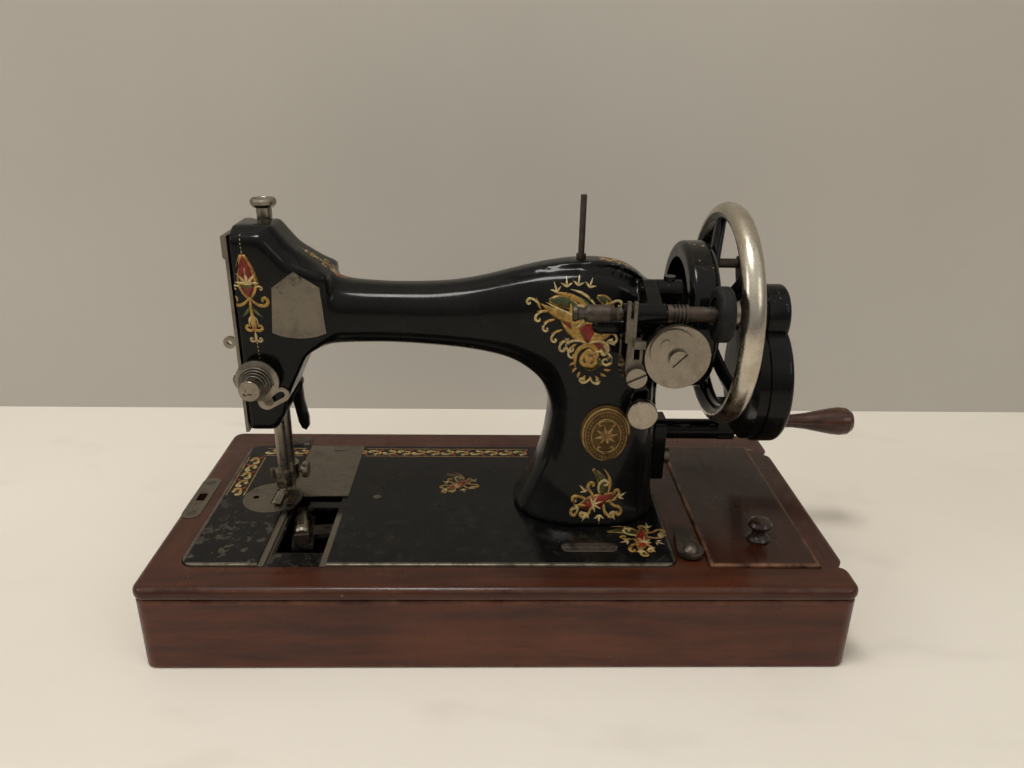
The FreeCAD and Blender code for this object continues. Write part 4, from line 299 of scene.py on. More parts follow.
def bed_finish(name, low, high):
    """The bed's japan, worn to bare iron: most along its front and left edges and on the slide ways. The pale band
    along the front edge is partly real wear and partly a painted highlight.
    """
    f = Finish(name, Coat_Roughness=0.12, Specular_IOR_Level=0.12)
    base, rough, chips = japan_paint(f, chip_cover=0.22, dust=0.4)
    edge = f.use("edge", Low=low, High=high, Width=0.0032)["Mask"]
    rub = f.use("patina", Scale=95.0, Cover=0.98, Blur=0.3)["Mask"]
    x, y, _ = f.axes()
    # Full strength along the front edge: partly real wear and partly a painted highlight there.
    front = f.ramp(y, -0.080, -0.084, 0.0, 1.0)
    side = f.math("MAXIMUM", front, f.ramp(x, -0.1965, -0.1998, 0.0, 0.9))
    worn = f.math("MULTIPLY", f.math("MULTIPLY", f.ramp(edge, 0.05, 0.45), f.math("MAXIMUM", rub, 0.25)),
                  f.math("MAXIMUM", side, 0.35))
    left = f.math("MULTIPLY", f.ramp(x, -0.10, -0.17), f.ramp(y, 0.02, -0.08))
    scuff = f.math("MULTIPLY", f.use("patina", Scale=120.0, Cover=0.42, Blur=0.05)["Mask"],
                   f.math("ADD", f.math("MULTIPLY", left, 0.28), 0.03))
    ways = f.math("MAXIMUM", f.strip(x, -0.1520, -0.1466, 0.0006), f.strip(x, -0.1138, -0.1086, 0.0006))
    ways = f.math("MULTIPLY", ways, f.ramp(y, -0.020, -0.030, 0.0, 0.7))
    bare = f.math("MAXIMUM", f.math("MAXIMUM", worn, scuff), ways)
    # Pale bare iron, which along the front edge is partly a painted highlight.
    base = f.mix(bare, base, colour(0.20, 0.172, 0.13))
    f.set("Base Color", base)
    f.set("Roughness", f.math("ADD", rough, f.math("MULTIPLY", bare, 0.22)))
    f.set("Metallic", f.math("MAXIMUM", f.math("MULTIPLY", chips, 0.8), f.math("MULTIPLY", bare, 0.9)))
    f.set("Coat Weight", f.math("SUBTRACT", 0.16, f.math("MULTIPLY", bare, 0.16)))
    height = f.math("SUBTRACT", f.noise(f.place, 190.0, 3.0, 0.5), f.math("MULTIPLY", bare, 0.8))
    f.bump(height, 0.00012, 0.4)
    return f.material


def old_nickel(name, bright=1.0, spots=0.35, rough=0.3):
    """Nickel plate gone warm and dull, with brown freckles."""
    f = Finish(name, Metallic=1.0)
    dull = f.use("patina", Scale=70.0, Cover=0.6, Blur=0.3)["Mask"]
    freckle = f.use("specks", Scale=520.0, Cover=spots)["Mask"]
    light = colour(0.27 * bright, 0.238 * bright, 0.19 * bright)
    shade = colour(0.135 * bright, 0.113 * bright, 0.083 * bright)
    base = f.mix(f.math("MULTIPLY", dull, 0.8), light, shade)
    base = f.mix(f.math("MULTIPLY", freckle, 0.75), base, colour(0.07, 0.045, 0.028))
    f.set("Base Color", base)
    fine = f.noise(f.place, 130.0, 5.0, 0.65)
    even = f.ramp(fine, 0.3, 0.8, rough - 0.08, rough + 0.14)
    f.set("Roughness", f.math("ADD", even, f.math("MULTIPLY", dull, 0.12)))
    f.bump(f.math("SUBTRACT", fine, f.math("MULTIPLY", freckle, 0.6)), 0.00006, 0.4)
    return f.material


def oiled_steel(name, tone=1.0, rust=0.4, rough=0.42):
    """Darkened working steel with blotches of brown rust."""
    f = Finish(name, Metallic=0.9)
    brown = f.use("patina", Scale=110.0, Cover=rust, Blur=0.2)["Mask"]
    fine = f.noise(f.place, 260.0, 5.0, 0.7)
    base = f.mix(f.ramp(fine, 0.3, 0.75), colour(0.10 * tone, 0.088 * tone, 0.07 * tone),
                 colour(0.21 * tone, 0.185 * tone, 0.15 * tone))
    base = f.mix(f.math("MULTIPLY", brown, 0.8), base, colour(0.055, 0.028, 0.015))
    f.set("Base Color", base)
    even = f.ramp(fine, 0.2, 0.8, rough - 0.1, rough + 0.1)
    f.set("Roughness", f.math("ADD", even, f.math("MULTIPLY", brown, 0.2)))
    f.set("Metallic", f.math("SUBTRACT", 0.95, f.math("MULTIPLY", brown, 0.6)))
    f.bump(fine, 0.00008, 0.4)
    return f.material


def aged_brass(name, tone=1.0):
    """Brass gone brown, and darkest in its blotches."""
    f = Finish(name, Metallic=1.0)
    dark = f.use("patina", Scale=190.0, Cover=0.6, Blur=0.25)["Mask"]
    fine = f.noise(f.place, 500.0, 4.0, 0.6)
    base = f.mix(dark, colour(0.33 * tone, 0.215 * tone, 0.09 * tone),
                 colour(0.13 * tone, 0.082 * tone, 0.036 * tone))
    f.set("Base Color", base)
    f.set("Roughness", f.ramp(fine, 0.3, 0.8, 0.34, 0.56))
    f.bump(fine, 0.00005, 0.4)
    return f.material


def wheel_finish(name):
    """Handwheel: nickel on the rim's outside, black japan on spokes, hub and drum, flecks of gold on the drum."""
    f = Finish(name, Specular_IOR_Level=0.12, Coat_Roughness=0.08)
    x, y, z = f.axes()
    dy = f.math("SUBTRACT", y, AXLE_Y)
    dz = f.math("SUBTRACT", z, AXLE_Z)
    radius = f.math("SQRT", f.math("ADD", f.math("MULTIPLY", dy, dy), f.math("MULTIPLY", dz, dz)))
    across = f.math("SUBTRACT", x, RIM_X)
    outward = f.math("SUBTRACT", radius, RIM_RADIUS)
    ragged = f.math("MULTIPLY", f.math("SUBTRACT", f.noise(f.place, 120.0, 5.0, 0.7), 0.5), 0.003)
    sloped = f.math("ADD", outward, f.math("MULTIPLY", across, 0.25))
    plated = f.ramp(f.math("ADD", sloped, ragged), -0.0026, -0.0018)
    rim_side = f.ramp(x, 0.1385, 0.139)
    plated = f.math("MULTIPLY", plated, rim_side)
    base, rough, chips = japan_paint(f, chip_cover=0.16, dust=0.35)
    dull = f.use("patina", Scale=38.0, Cover=0.6, Blur=0.3)["Mask"]
    spots = f.use("specks", Scale=420.0, Cover=0.42)["Mask"]
    nickel = f.mix(dull, colour(0.56, 0.515, 0.425), colour(0.33, 0.28, 0.20))
    nickel = f.mix(f.math("MULTIPLY", spots, 0.7), nickel, colour(0.10, 0.065, 0.04))
    drum_band = f.strip(x, 0.1155, 0.131, 0.002)
    drum_outside = f.ramp(radius, 0.0463, 0.047)
    gold = f.math("MULTIPLY", f.use("specks", Scale=260.0, Cover=0.5)["Mask"], drum_band)
    gold = f.math("MULTIPLY", gold, drum_outside)
    base = f.mix(f.math("MULTIPLY", gold, 0.7), base, colour(0.36, 0.23, 0.07))
    f.set("Base Color", f.mix(plated, base, nickel))
    f.set("Metallic", f.math("MAXIMUM", plated, f.math("MULTIPLY", chips, 0.8)))
    fine = f.noise(f.place, 90.0, 5.0, 0.65)
    shiny = f.math("ADD", f.ramp(fine, 0.3, 0.8, 0.2, 0.36), f.math("MULTIPLY", dull, 0.12))
    f.set("Roughness", f.math("ADD", f.math("MULTIPLY", plated, shiny),
                              f.math("MULTIPLY", f.math("SUBTRACT", 1.0, plated), rough)))
    f.set("Coat Weight", f.math("SUBTRACT", 0.2, f.math("MULTIPLY", plated, 0.2)))
    f.bump(f.math("SUBTRACT", fine, f.math("MULTIPLY", spots, 0.5)), 0.00008, 0.4)
    return f.material


def turned_wood(name, light, dark, along):
    """Turned and handled wood, its grain along X or Z."""
    f = Finish(name, Coat_Weight=0.3, Coat_Roughness=0.12, Specular_IOR_Level=0.25)
    turn = {"X": (0.0, 0.0, 0.0), "Z": (0.0, math.pi / 2, 0.0)}[along]
    grained = f.add("ShaderNodeMapping", {"Vector": f.place, "Rotation": turn}).outputs[0]
    grain = f.use("grain", Vector=grained, Size=2.2)
    base = f.mix(f.ramp(grain["Figure"], 0.35, 0.65), dark, light)
    base = f.mix(f.math("MULTIPLY", grain["Pores"], 0.6), base, colour(0.01, 0.005, 0.004))
    worn = f.use("patina", Scale=60.0, Cover=0.45, Blur=0.2)["Mask"]
    base = f.mix(f.math("MULTIPLY", worn, 0.35), base, colour(0.03, 0.014, 0.01))
    f.set("Base Color", base)
    f.set("Roughness", f.ramp(grain["Figure"], 0.3, 0.7, 0.22, 0.34))
    f.bump(grain["Figure"], 0.0001, 0.25)
    return f.material


def old_rubber(name):
    """Hard old rubber, dull and a little grey."""
    f = Finish(name, Specular_IOR_Level=0.15)
    fine = f.noise(f.place, 320.0, 6.0, 0.7)
    f.set("Base Color", f.mix(f.ramp(fine, 0.4, 0.8), colour(0.010, 0.010, 0.010), colour(0.030, 0.027, 0.024)))
    f.set("Roughness", f.ramp(fine, 0.3, 0.8, 0.5, 0.75))
    f.bump(fine, 0.0001, 0.5)
    return f.material


def decal(name, base, worn=0.35, metal=0.0):
    """Transfer paint, rubbed through in places to the japan under it."""
    f = Finish(name, Coat_Weight=0.25, Coat_Roughness=0.1, Specular_IOR_Level=0.2)
    gone = f.use("patina", Scale=230.0, Cover=worn, Blur=0.06)["Mask"]
    tint = f.noise(f.place, 380.0, 4.0, 0.6)
    shade = tuple(c * 0.5 for c in base[:3]) + (1.0,)
    paint = f.mix(f.ramp(tint, 0.35, 0.7), shade, base)
    f.set("Base Color", f.mix(gone, paint, colour(0.010, 0.009, 0.007)))
    f.set("Roughness", f.ramp(tint, 0.3, 0.7, 0.28, 0.44))
    f.set("Metallic", f.math("MULTIPLY", f.math("SUBTRACT", 1.0, gone), metal))
    return f.material


def table_cloth(name):
    """The pale cloth of the table: broad soft folds with painted shade along their creases, and a fine weave."""
    f = Finish(name, Roughness=0.9, Specular_IOR_Level=0.15)
    pulled = f.add("ShaderNodeMapping", {"Vector": f.place, "Scale": (1.0, 2.2, 1.0), "Rotation": (0.0, 0.0, 0.5)})
    crease = f.noise(pulled.outputs[0], 9.0, 4.0, 0.5)
    broad = f.noise(f.place, 2.2, 3.0, 0.5)
    base = f.mix(f.ramp(broad, 0.3, 0.7), colour(0.74, 0.685, 0.60), colour(0.79, 0.74, 0.66))
    # Painted shade: the colour darkens along the fold creases.
    f.set("Base Color", f.mix(f.ramp(crease, 0.55, 0.75, 0.0, 0.3), base, colour(0.60, 0.55, 0.47)))
    weave = f.noise(f.place, 900.0, 2.0, 0.5)
    f.bump(f.math("ADD", crease, f.math("MULTIPLY", weave, 0.05)), 0.003, 0.35)
    return f.material


def painted_wall(name):
    """Plain wall paint, more even low down, and clear when it is seen from behind."""
    f = Finish(name, Roughness=0.7, Specular_IOR_Level=0.2)
    broad = f.noise(f.place, 1.6, 3.0, 0.5)
    fine = f.noise(f.place, 500.0, 2.0, 0.5)
    base = f.mix(f.ramp(broad, 0.3, 0.7), colour(0.465, 0.435, 0.385), colour(0.515, 0.485, 0.435))
    height = f.axes()[2]
    f.set("Base Color", f.mix(f.ramp(height, 0.26, 0.05), base, colour(0.50, 0.475, 0.43)))
    f.bump(fine, 0.0003, 0.3)
    behind = f.add("ShaderNodeNewGeometry").outputs["Backfacing"]
    mixed = f.add("ShaderNodeMixShader", {0: behind, 1: f.shader.outputs[0],
                                          2: f.add("ShaderNodeBsdfTransparent").outputs[0]})
    f.tree.links.new(mixed.outputs[0], f.tree.nodes["Material Output"].inputs["Surface"])
    return f.material


def block_of(*names):
    """The lowest and highest corners of some nodes together."""
    lows, highs = zip(*(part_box(name) for name in names))
    low = [min(v[i] for v in lows) for i in range(3)]
    high = [max(v[i] for v in highs) for i in range(3)]
    return low, high


BOX_LOW, BOX_HIGH = block_of("base_front_board", "base_back_board")
TOP_LOW, TOP_HIGH = block_of("rail_front", "rail_back")
BED_LOW, BED_HIGH = block_of("bed")
BED_HIGH[2] = BED_TOP
LID_LOW, LID_HIGH = block_of("lid_panel")

wood_box_x = mahogany("mahogany_long_boards", "X", BOX_LOW, BOX_HIGH, tone=1.0, worn=0.5, polish=0.3)
wood_box_y = mahogany("mahogany_end_boards", "Y", BOX_LOW, BOX_HIGH, tone=0.95, worn=0.5, polish=0.3)
wood_top_x = mahogany("mahogany_long_rails", "X", TOP_LOW, TOP_HIGH, tone=0.68, worn=0.5, polish=0.3)
wood_top_y = mahogany("mahogany_end_rails", "Y", TOP_LOW, TOP_HIGH, tone=0.62, worn=0.6, polish=0.3)
wood_lid = mahogany("mahogany_lid", "Y", LID_LOW, LID_HIGH, tone=0.33, worn=1.0, polish=0.32)
wood_inside = mahogany("mahogany_inside", "X", BOX_LOW, BOX_HIGH, tone=0.8, worn=0.1)
knob_wood = turned_wood("turned_knob", colour(0.030, 0.014, 0.009), colour(0.010, 0.006, 0.005), "Z")
grip_wood = turned_wood("turned_grip", colour(0.070, 0.024, 0.012), colour(0.024, 0.009, 0.006), "X")
japan = black_japan("black_japan")
japan_worn = black_japan("black_japan_worn", chip_cover=0.24, dust=0.5)
bed_japan = bed_finish("bed_japan", BED_LOW, BED_HIGH)
nickel = old_nickel("old_nickel")
nickel_plate = old_nickel("slide_nickel", bright=0.72, spots=0.5, rough=0.38)
nickel_bright = old_nickel("bright_nickel", bright=1.3, spots=0.3, rough=0.3)
steel = oiled_steel("oiled_steel")
steel_dark = oiled_steel("dark_steel", tone=0.5, rust=0.7, rough=0.45)
brass = aged_brass("aged_brass")
brass_ground = aged_brass("brass_ground", tone=0.28)
wheel_paint = wheel_finish("wheel_finish")
rubber = old_rubber("old_rubber")

FINISHES = {
    "base_front_board": wood_box_x, "base_back_board": wood_box_x, "base_left_board": wood_box_y,
    "base_right_board": wood_box_y, "rail_front": wood_top_x, "rail_back": wood_top_x, "rail_left": wood_top_y,
    "middle_divider": wood_top_y, "rail_right": wood_top_y, "floor_board": wood_inside, "lock_plate": nickel_plate,
    "base_fasteners": steel, "bed_hinges": steel_dark, "bed_catch": steel_dark, "lid_panel": wood_lid,
    "lid_knob": knob_wood, "bed": bed_japan, "arm_casting": japan, "faceplate": nickel_plate,
    "needle_plate": nickel_plate, "feed_dog": steel, "arm_plate": nickel_plate, "tension_discs": nickel,
    "tension_spring": steel, "tension_nut": nickel, "check_spring": steel, "slack_plate": nickel,
    "spool_pin": steel_dark, "presser_bar": nickel, "presser_foot": nickel, "presser_foot_screw": nickel,
    "pressure_screw": nickel, "presser_lifter": japan_worn, "needle_bar": nickel, "needle_clamp": nickel,
    "needle": nickel, "take_up_lever": nickel, "main_shaft": steel, "handwheel": wheel_paint,
    "clutch_nut": nickel, "slide_plate": nickel_plate, "shuttle": nickel, "shuttle_carrier": steel_dark,
    "badge": brass_ground, "stitch_regulator": nickel_bright, "winder_bracket": japan_worn,
    "winder_frame": japan_worn, "winder_spindle": steel_dark, "winder_tyre": rubber, "winder_cam": nickel,
    "winder_guide": steel, "winder_screws": nickel, "crank_case": japan_worn, "crank_cover": japan_worn,
    "crank_gear": steel, "crank_pinion": steel_dark, "crank_arm": steel_dark, "crank_grip": grip_wood,
    "head_screws": steel, "rock_shafts": steel_dark,
}


def finish_nodes():
    for name, material in FINISHES.items():
        for entry in NODES[name].material_slots:
            entry.material = material


# The cast arm, with the soft edges of a sand casting

def own_mesh(node):
    """A merged copy of a node's mesh, in a bmesh."""
    bm = bmesh.new()
    bm.from_mesh(NODES[node].data)
    bmesh.ops.remove_doubles(bm, verts=bm.verts, dist=1e-6)
    return bm


def place_piece(name, mesh, body, material):
    """A new piece of the object, from a mesh that is already in its place."""
    obj = bpy.data.objects.new(name, mesh)
    mesh.materials.clear()
    mesh.materials.append(material)
    bpy.context.scene.collection.objects.link(obj)
    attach(obj, body)
    return obj


def baked(obj):
    """The object's mesh with its modifiers applied."""
    bpy.context.view_layer.update()
    graph = bpy.context.evaluated_depsgraph_get()
    return bpy.data.meshes.new_from_object(obj.evaluated_get(graph))


def clear_slot(mesh):
    """Keeps the stitch regulator's slot as wide as its stem needs."""
    for vert in mesh.vertices:
        across, along = vert.co.x - SLOT_X, vert.co.z - SLOT_Z
        side_gap, end_gap = SLOT_HALF_WIDTH - abs(across), SLOT_HALF_LENGTH - abs(along)
        if SLOT_FRONT < vert.co.y < SLOT_BACK and side_gap > 0.0 and end_gap > 0.0:
            if side_gap < end_gap:
                vert.co.x = SLOT_X + math.copysign(SLOT_HALF_WIDTH, across)
            else:
                vert.co.z = SLOT_Z + math.copysign(SLOT_HALF_LENGTH, along)


def soft_casting():
    """The arm casting with an even skin and soft edges, in place of the CAD one."""
    bm = own_mesh("arm_casting")
    mesh = bpy.data.meshes.new("cast_arm_rough")
    bm.to_mesh(mesh)
    bm.free()
    rough = bpy.data.objects.new("cast_arm_rough", mesh)
    bpy.context.scene.collection.objects.link(rough)
    remesh = rough.modifiers.new("even_skin", "REMESH")
    remesh.mode = "VOXEL"
    remesh.voxel_size = 0.0018
    remesh.use_smooth_shade = True
    soften = rough.modifiers.new("soft_edges", "SMOOTH")
    soften.factor = 0.5
    soften.iterations = 15
    mesh = baked(rough)
    bpy.data.objects.remove(rough)
    mesh.name = "cast_arm"
    clear_slot(mesh)
    piece = place_piece("cast_arm", mesh, "head", japan)
    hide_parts("arm_casting")
    return piece


# Transfers: gold, red and green scrollwork laid on the japan

def skin_of(mesh):
    """A tree of the mesh's faces, for rays to hit."""
    bm = bmesh.new()
    bm.from_mesh(mesh)
    tree = BVHTree.FromBMesh(bm)
    bm.free()
    return tree


class Drawing:
    """Pen strokes in a flat frame, in millimetres, sorted by their paint."""

    def __init__(self):
        self.strokes = {}

    def stroke(self, paint, points, widths):
        self.strokes.setdefault(paint, []).append((points, widths))

    def curl(self, paint, x, y, heading, length, turn, width, wind=1.0):
        """A line that winds up: turn is its whole turn in degrees, and a larger wind tightens its end more."""
        steps = 12
        points, widths = [(x, y)], [width * 0.35]
        for i in range(steps):
            share = (i + 0.5) / steps
            heading += math.radians(turn) * (wind + 1) * share ** wind / steps
            pace = length / steps * (1.35 - 0.7 * share)
            x += math.cos(heading) * pace
            y += math.sin(heading) * pace
            points.append((x, y))
            widths.append(width * (0.45 + 0.75 * math.sin(math.pi * (0.12 + 0.8 * share))))
        self.stroke(paint, points, widths)
        self.dot(paint, x, y, width * 0.9)

    def leaf(self, paint, x, y, heading, length, width, bend=0.0):
        """A stroke that swells and tapers to a point, bent by so many degrees over its length."""
        steps = 5
        points, widths = [], []
        for i in range(steps + 1):
            share = i / steps
            points.append((x, y))
            widths.append(max(0.06, width * math.sin(math.pi * share ** 0.75)))
            heading += math.radians(bend) / steps
            x += math.cos(heading) * length / steps
            y += math.sin(heading) * length / steps
        self.stroke(paint, points, widths)

    def field(self, paint, x, y, heading, length, width, bend=0.0, border=0.9):
        """A broad filled leaf with a gold border round it."""
        self.leaf(paint, x, y, heading, length, width, bend)
        points, widths = self.strokes[paint][-1]
        self.stroke("gold_under", points, [w + border for w in widths])

    def fan(self, paint, x, y, heading, length, width, count, spread):
        """Leaves that open like a hand from one point."""
        for i in range(count):
            share = i / (count - 1) - 0.5
            angle = heading + math.radians(spread) * share
            self.leaf(paint, x, y, angle, length * (1.0 - abs(share) * 0.6), width, 50 * share)

    def dot(self, paint, x, y, radius):
        points = [(x - radius * 0.3, y), (x, y), (x + radius * 0.3, y)]
        self.stroke(paint, points, [radius * 0.8, radius, radius * 0.8])

    def turned(self, degrees, size):
        """A copy of the drawing, turned about its origin and made larger or smaller."""
        other = Drawing()
        c, s = math.cos(math.radians(degrees)), math.sin(math.radians(degrees))
        for paint, strokes in self.strokes.items():
            for points, widths in strokes:
                turned = [((c * x - s * y) * size, (s * x + c * y) * size) for x, y in points]
                other.stroke(paint, turned, [w * size for w in widths])
        return other


# How far each paint stands off the surface, so that no two paints share a level
LIFT = {"gold_under": 0.000010, "field_green": 0.000022, "field_red": 0.000030, "green": 0.000038,
        "gold": 0.000046, "red": 0.000052, "pale_gold": 0.000060, "brass_relief": 0.0001}

# A ray starts RAY_START off the drawing and reaches RAY_REACH, and FACING is how far a face has to look its way
RAY_START, RAY_REACH, FACING = 0.03, 0.055, 0.25


def smooth_mesh(bm, mesh):
    """Writes a bmesh to a mesh, with its faces turned outwards and smooth, and frees it."""
    bmesh.ops.recalc_face_normals(bm, faces=bm.faces)
    bm.to_mesh(mesh)
    bm.free()
    mesh.polygons.foreach_set("use_smooth", [True] * len(mesh.polygons))


def lay(name, drawing, origin, across, up, skin, slot="black_japan", flat=0.03, rise=0.4):
    """Lays a drawing on the head: each paint becomes one thin piece that follows the surface under it.

    flat is how much of a stroke's roundness is kept, and rise is the most of it in millimetres before that.
    """
    origin, across, up = Vector(origin), Vector(across).normalized(), Vector(up).normalized()
    out = across.cross(up)
    for paint, strokes in drawing.strokes.items():
        curve = bpy.data.curves.new(name, "CURVE")
        curve.dimensions = "3D"
        curve.bevel_depth = 1.0
        curve.bevel_resolution = 1
        curve.resolution_u = 3
        curve.use_fill_caps = True
        for points, widths in strokes:
            spline = curve.splines.new("NURBS")
            spline.points.add(len(points) - 1)
            for point, (x, y), width in zip(spline.points, points, widths):
                point.co = (x, y, 0.0, 1.0)
                point.radius = width
            spline.order_u = 3
            spline.use_endpoint_u = True
        holder = bpy.data.objects.new(name + "_pen", curve)
        bpy.context.scene.collection.objects.link(holder)
        mesh = baked(holder)
        bpy.data.objects.remove(holder)
        bm = bmesh.new()
        bm.from_mesh(mesh)
        lost = []
        for vert in bm.verts:
            start = origin + across * (vert.co.x * MM) + up * (vert.co.y * MM)
            hit, normal, _, reach = skin.ray_cast(start + out * RAY_START, -out)
            if hit is None or reach > RAY_REACH or normal.dot(out) < FACING:
                lost.append(vert)
                continue
            vert.co = hit + normal * (LIFT[paint] + max(-rise, min(rise, vert.co.z)) * MM * flat)
        bmesh.ops.delete(bm, geom=lost, context="VERTS")
        open_edges = [edge for edge in bm.edges if len(edge.link_faces) == 1]
        if open_edges:
            bmesh.ops.holes_fill(bm, edges=open_edges, sides=0)
        smooth_mesh(bm, mesh)
        mesh.name = name + "_" + paint
        place_piece(name + "_" + paint, mesh, "head", PAINTS[paint])


PAINTS = {
    "gold_under": decal("transfer_border_gold", colour(0.40, 0.225, 0.050), worn=0.28, metal=0.3),
    "gold": decal("transfer_gold", colour(0.46, 0.27, 0.062), worn=0.30, metal=0.35),
    "pale_gold": decal("transfer_pale_gold", colour(0.62, 0.47, 0.21), worn=0.34, metal=0.2),
    "red": decal("transfer_red", colour(0.30, 0.022, 0.014), worn=0.22),
    "green": decal("transfer_green", colour(0.085, 0.105, 0.032), worn=0.25),
    "field_red": decal("transfer_field_red", colour(0.24, 0.018, 0.012), worn=0.30),
    "field_green": decal("transfer_field_green", colour(0.050, 0.060, 0.018), worn=0.30),
    "brass_relief": brass,
}


def head_design():
    """A tall narrow stem for the head: a red almond in a gold frame with curls under it."""
    d = Drawing()
    d.field("field_red", 0, 21, math.pi / 2, 27, 5.4, 0, 1.9)
    d.fan("pale_gold", 0, 29, math.pi / 2, 11, 0.95, 5, 130)
    d.fan("green", 0, 29, -math.pi / 2, 6, 0.8, 3, 100)
    d.leaf("gold", 0, 22, -math.pi / 2, 27, 1.1)
    for side in (1, -1):
        d.leaf("gold", 0, 19, math.pi / 2 + side * 0.95, 22, 0.9, -side * 75)
        d.curl("gold", 0, 21, -math.pi / 2 + side * 0.6, 22, side * 350, 0.95)
        d.curl("pale_gold", side * 4.2, 27, math.pi / 2 - side * 0.9, 8, -side * 280, 0.5)
        d.curl("gold", 0, 9, -math.pi / 2 + side * 0.35, 19, -side * 330, 0.85)
        d.leaf("green", side * 0.8, 15, -math.pi / 2 + side * 0.3, 9, 1.0, side * 40)
        d.leaf("pale_gold", side * 0.6, 9, -math.pi / 2 + side * 0.9, 7, 0.7, -side * 60)
        d.curl("pale_gold", 0, -2, -math.pi / 2 - side * 0.25, 12, side * 330, 0.6)
    for i in range(5):
        d.dot("pale_gold", 0, 49.5 + i * 2.5, 0.95 - i * 0.1)
        d.dot("pale_gold", 0, -9 - i * 2.5, 0.9 - i * 0.1)
    return d


def pillar_design():
    """A broad drooping spray: a red shield in gold leaves, green ribbons over it, a round scroll under it."""
    d = Drawing()
    d.field("field_red", -20, 14, -0.35, 37, 7.2, -30, 1.7)
    d.field("field_green", -27, 23, 0.20, 22, 3.0, -45, 1.2)
    d.field("field_green", 3, 26, -0.15, 16, 2.2, -60, 1.0)
    for side in (1, -1):
        d.leaf("gold", -2, -5, math.pi / 2 + side * 0.95, 32, 2.6, -side * 55)
        d.leaf("gold", -1, -4, math.pi / 2 + side * 1.30, 25, 2.0, -side * 40)
        d.curl("pale_gold", -2, -4, math.pi / 2 + side * 1.15, 24, side * 290, 0.8)
        d.curl("gold", -1, -8, -math.pi / 2 + side * 0.9, 20, -side * 330, 1.1)
    d.leaf("gold", -32, 21, -0.75, 38, 3.0, 42)
    d.leaf("pale_gold", -29, 22, -0.55, 34, 1.0, 20)
    d.leaf("gold", -24, 28, 0.15, 38, 1.7, -75)
    d.leaf("pale_gold", -14, 30, 0.05, 26, 0.9, -70)
    d.leaf("green", -14, 26, -0.10, 18, 1.6, -40)
    for x, y, heading, turn in ((-34, 21, 2.3, 300), (-31, 16, 3.5, 280), (-27, 10, 3.7, 290), (-22, 3, 3.8, 300),
                                (-17, -3, 3.9, 290), (-12, -7, 4.1, 280), (12, 22, 0.5, -280), (15, 14, 0.1, -260),
                                (13, 4, -0.6, -280), (8, -4, -0.8, -280)):
        d.curl("pale_gold", x, y, heading, 12, turn, 0.72)
        d.leaf("gold", x + 4.5 * math.cos(heading + 2.9), y + 4.5 * math.sin(heading + 2.9), heading - 0.3, 8, 0.9)
    for x, y, heading in ((-22, 28, 1.9), (-16, 31, 1.6), (-9, 32, 1.4), (-2, 31, 1.2), (-14, -2, 3.6),
                          (10, -2, -0.4)):
        d.fan("pale_gold", x, y, heading, 6.5, 0.7, 3, 80)
    d.curl("pale_gold", -10, 6, 0.6, 30, 420, 1.0)
    d.fan("gold", -4, 9, 2.2, 8.5, 1.0, 5, 150)
    d.field("field_green", -6, -16, 0.0, 14, 5.6, 0, 0.9)
    d.curl("gold", -9, -20, 1.9, 50, -560, 1.5, 0.6)
    d.curl("pale_gold", 1, -10, 0.4, 30, -420, 0.7, 0.8)
    for i in range(11):
        angle = -3.0 + i * 0.36
        d.leaf("gold", 0.5 + 9.6 * math.cos(angle), -16 + 9.6 * math.sin(angle), angle, 4.6, 1.0, 40)
    for side in (1, -1):
        d.curl("pale_gold", 0.5, -27, -math.pi / 2 + side * 0.5, 12, side * 330, 0.75)
    return d


def foot_design():
    """A corner spray: a red heart of petals with a green plume and gold curls."""
    d = Drawing()
    d.field("field_red", -14, -7, 0.15, 26, 4.2, 18, 1.1)
    d.field("field_green", 2, 0, 1.25, 22, 2.4, 65, 0.9)
    d.leaf("gold", 5, 0, 0.95, 22, 1.2, 75)
    d.curl("pale_gold", 0, 1, 1.9, 20, -330, 0.85)
    d.fan("pale_gold", -5, -6, 0.3, 8, 0.8, 5, 140)
    for x, y, heading, turn in ((-11, -2, 2.6, 290), (-6, 2, 2.2, -280), (9, -3, 0.4, 300), (11, -7, -0.4, -300),
                                (4, -10, -1.2, 300), (-6, -10, -2.0, -290), (-14, -7, 3.4, 280)):
        d.curl("gold", x, y, heading, 13, turn, 1.0)
        d.leaf("gold", x + 5 * math.cos(heading + 3.0), y + 5 * math.sin(heading + 3.0), heading - 0.25, 8, 1.1)
    for x, y, heading in ((-14, -8, 3.5), (-9, -11, 4.3), (0, -12.5, 4.7), (8, -11, 5.2), (13, -2, 0.5),
                          (-9, 3, 2.4)):
        d.fan("pale_gold", x, y, heading, 6.5, 0.85, 3, 75)
    return d


def border_design(length, height):
    """A running border of paired curls between two fine lines."""
    d = Drawing()
    count = max(2, round(length / 12))
    step = length / count
    for i in range(count):
        x, y = (i + 0.5) * step, height / 2
        flip = 1 if i % 2 else -1
        d.curl("gold", x - step * 0.45, y, flip * 0.6, step * 1.45, -flip * 330, 1.05)
        d.curl("pale_gold", x + step * 0.1, y + flip * 1.2, math.pi - flip * 0.7, step, flip * 300, 0.7)
        d.leaf("green", x - step * 0.2, y - flip * 1.5, -flip * 0.5, step * 0.5, 0.95, flip * 40)
        d.leaf("red", x + step * 0.25, y + flip * 2.6, flip * 0.4, step * 0.36, 1.15, flip * 20)
        d.fan("pale_gold", x, y - flip * 2.2, -flip * math.pi / 2, 3.6, 0.5, 3, 90)
        d.dot("pale_gold", x, y + flip * 5.0, 0.55)
    for y in (0.2, height - 0.2):
        d.stroke("gold", [(length * k / 12, y) for k in range(13)], [0.38] * 13)
    return d


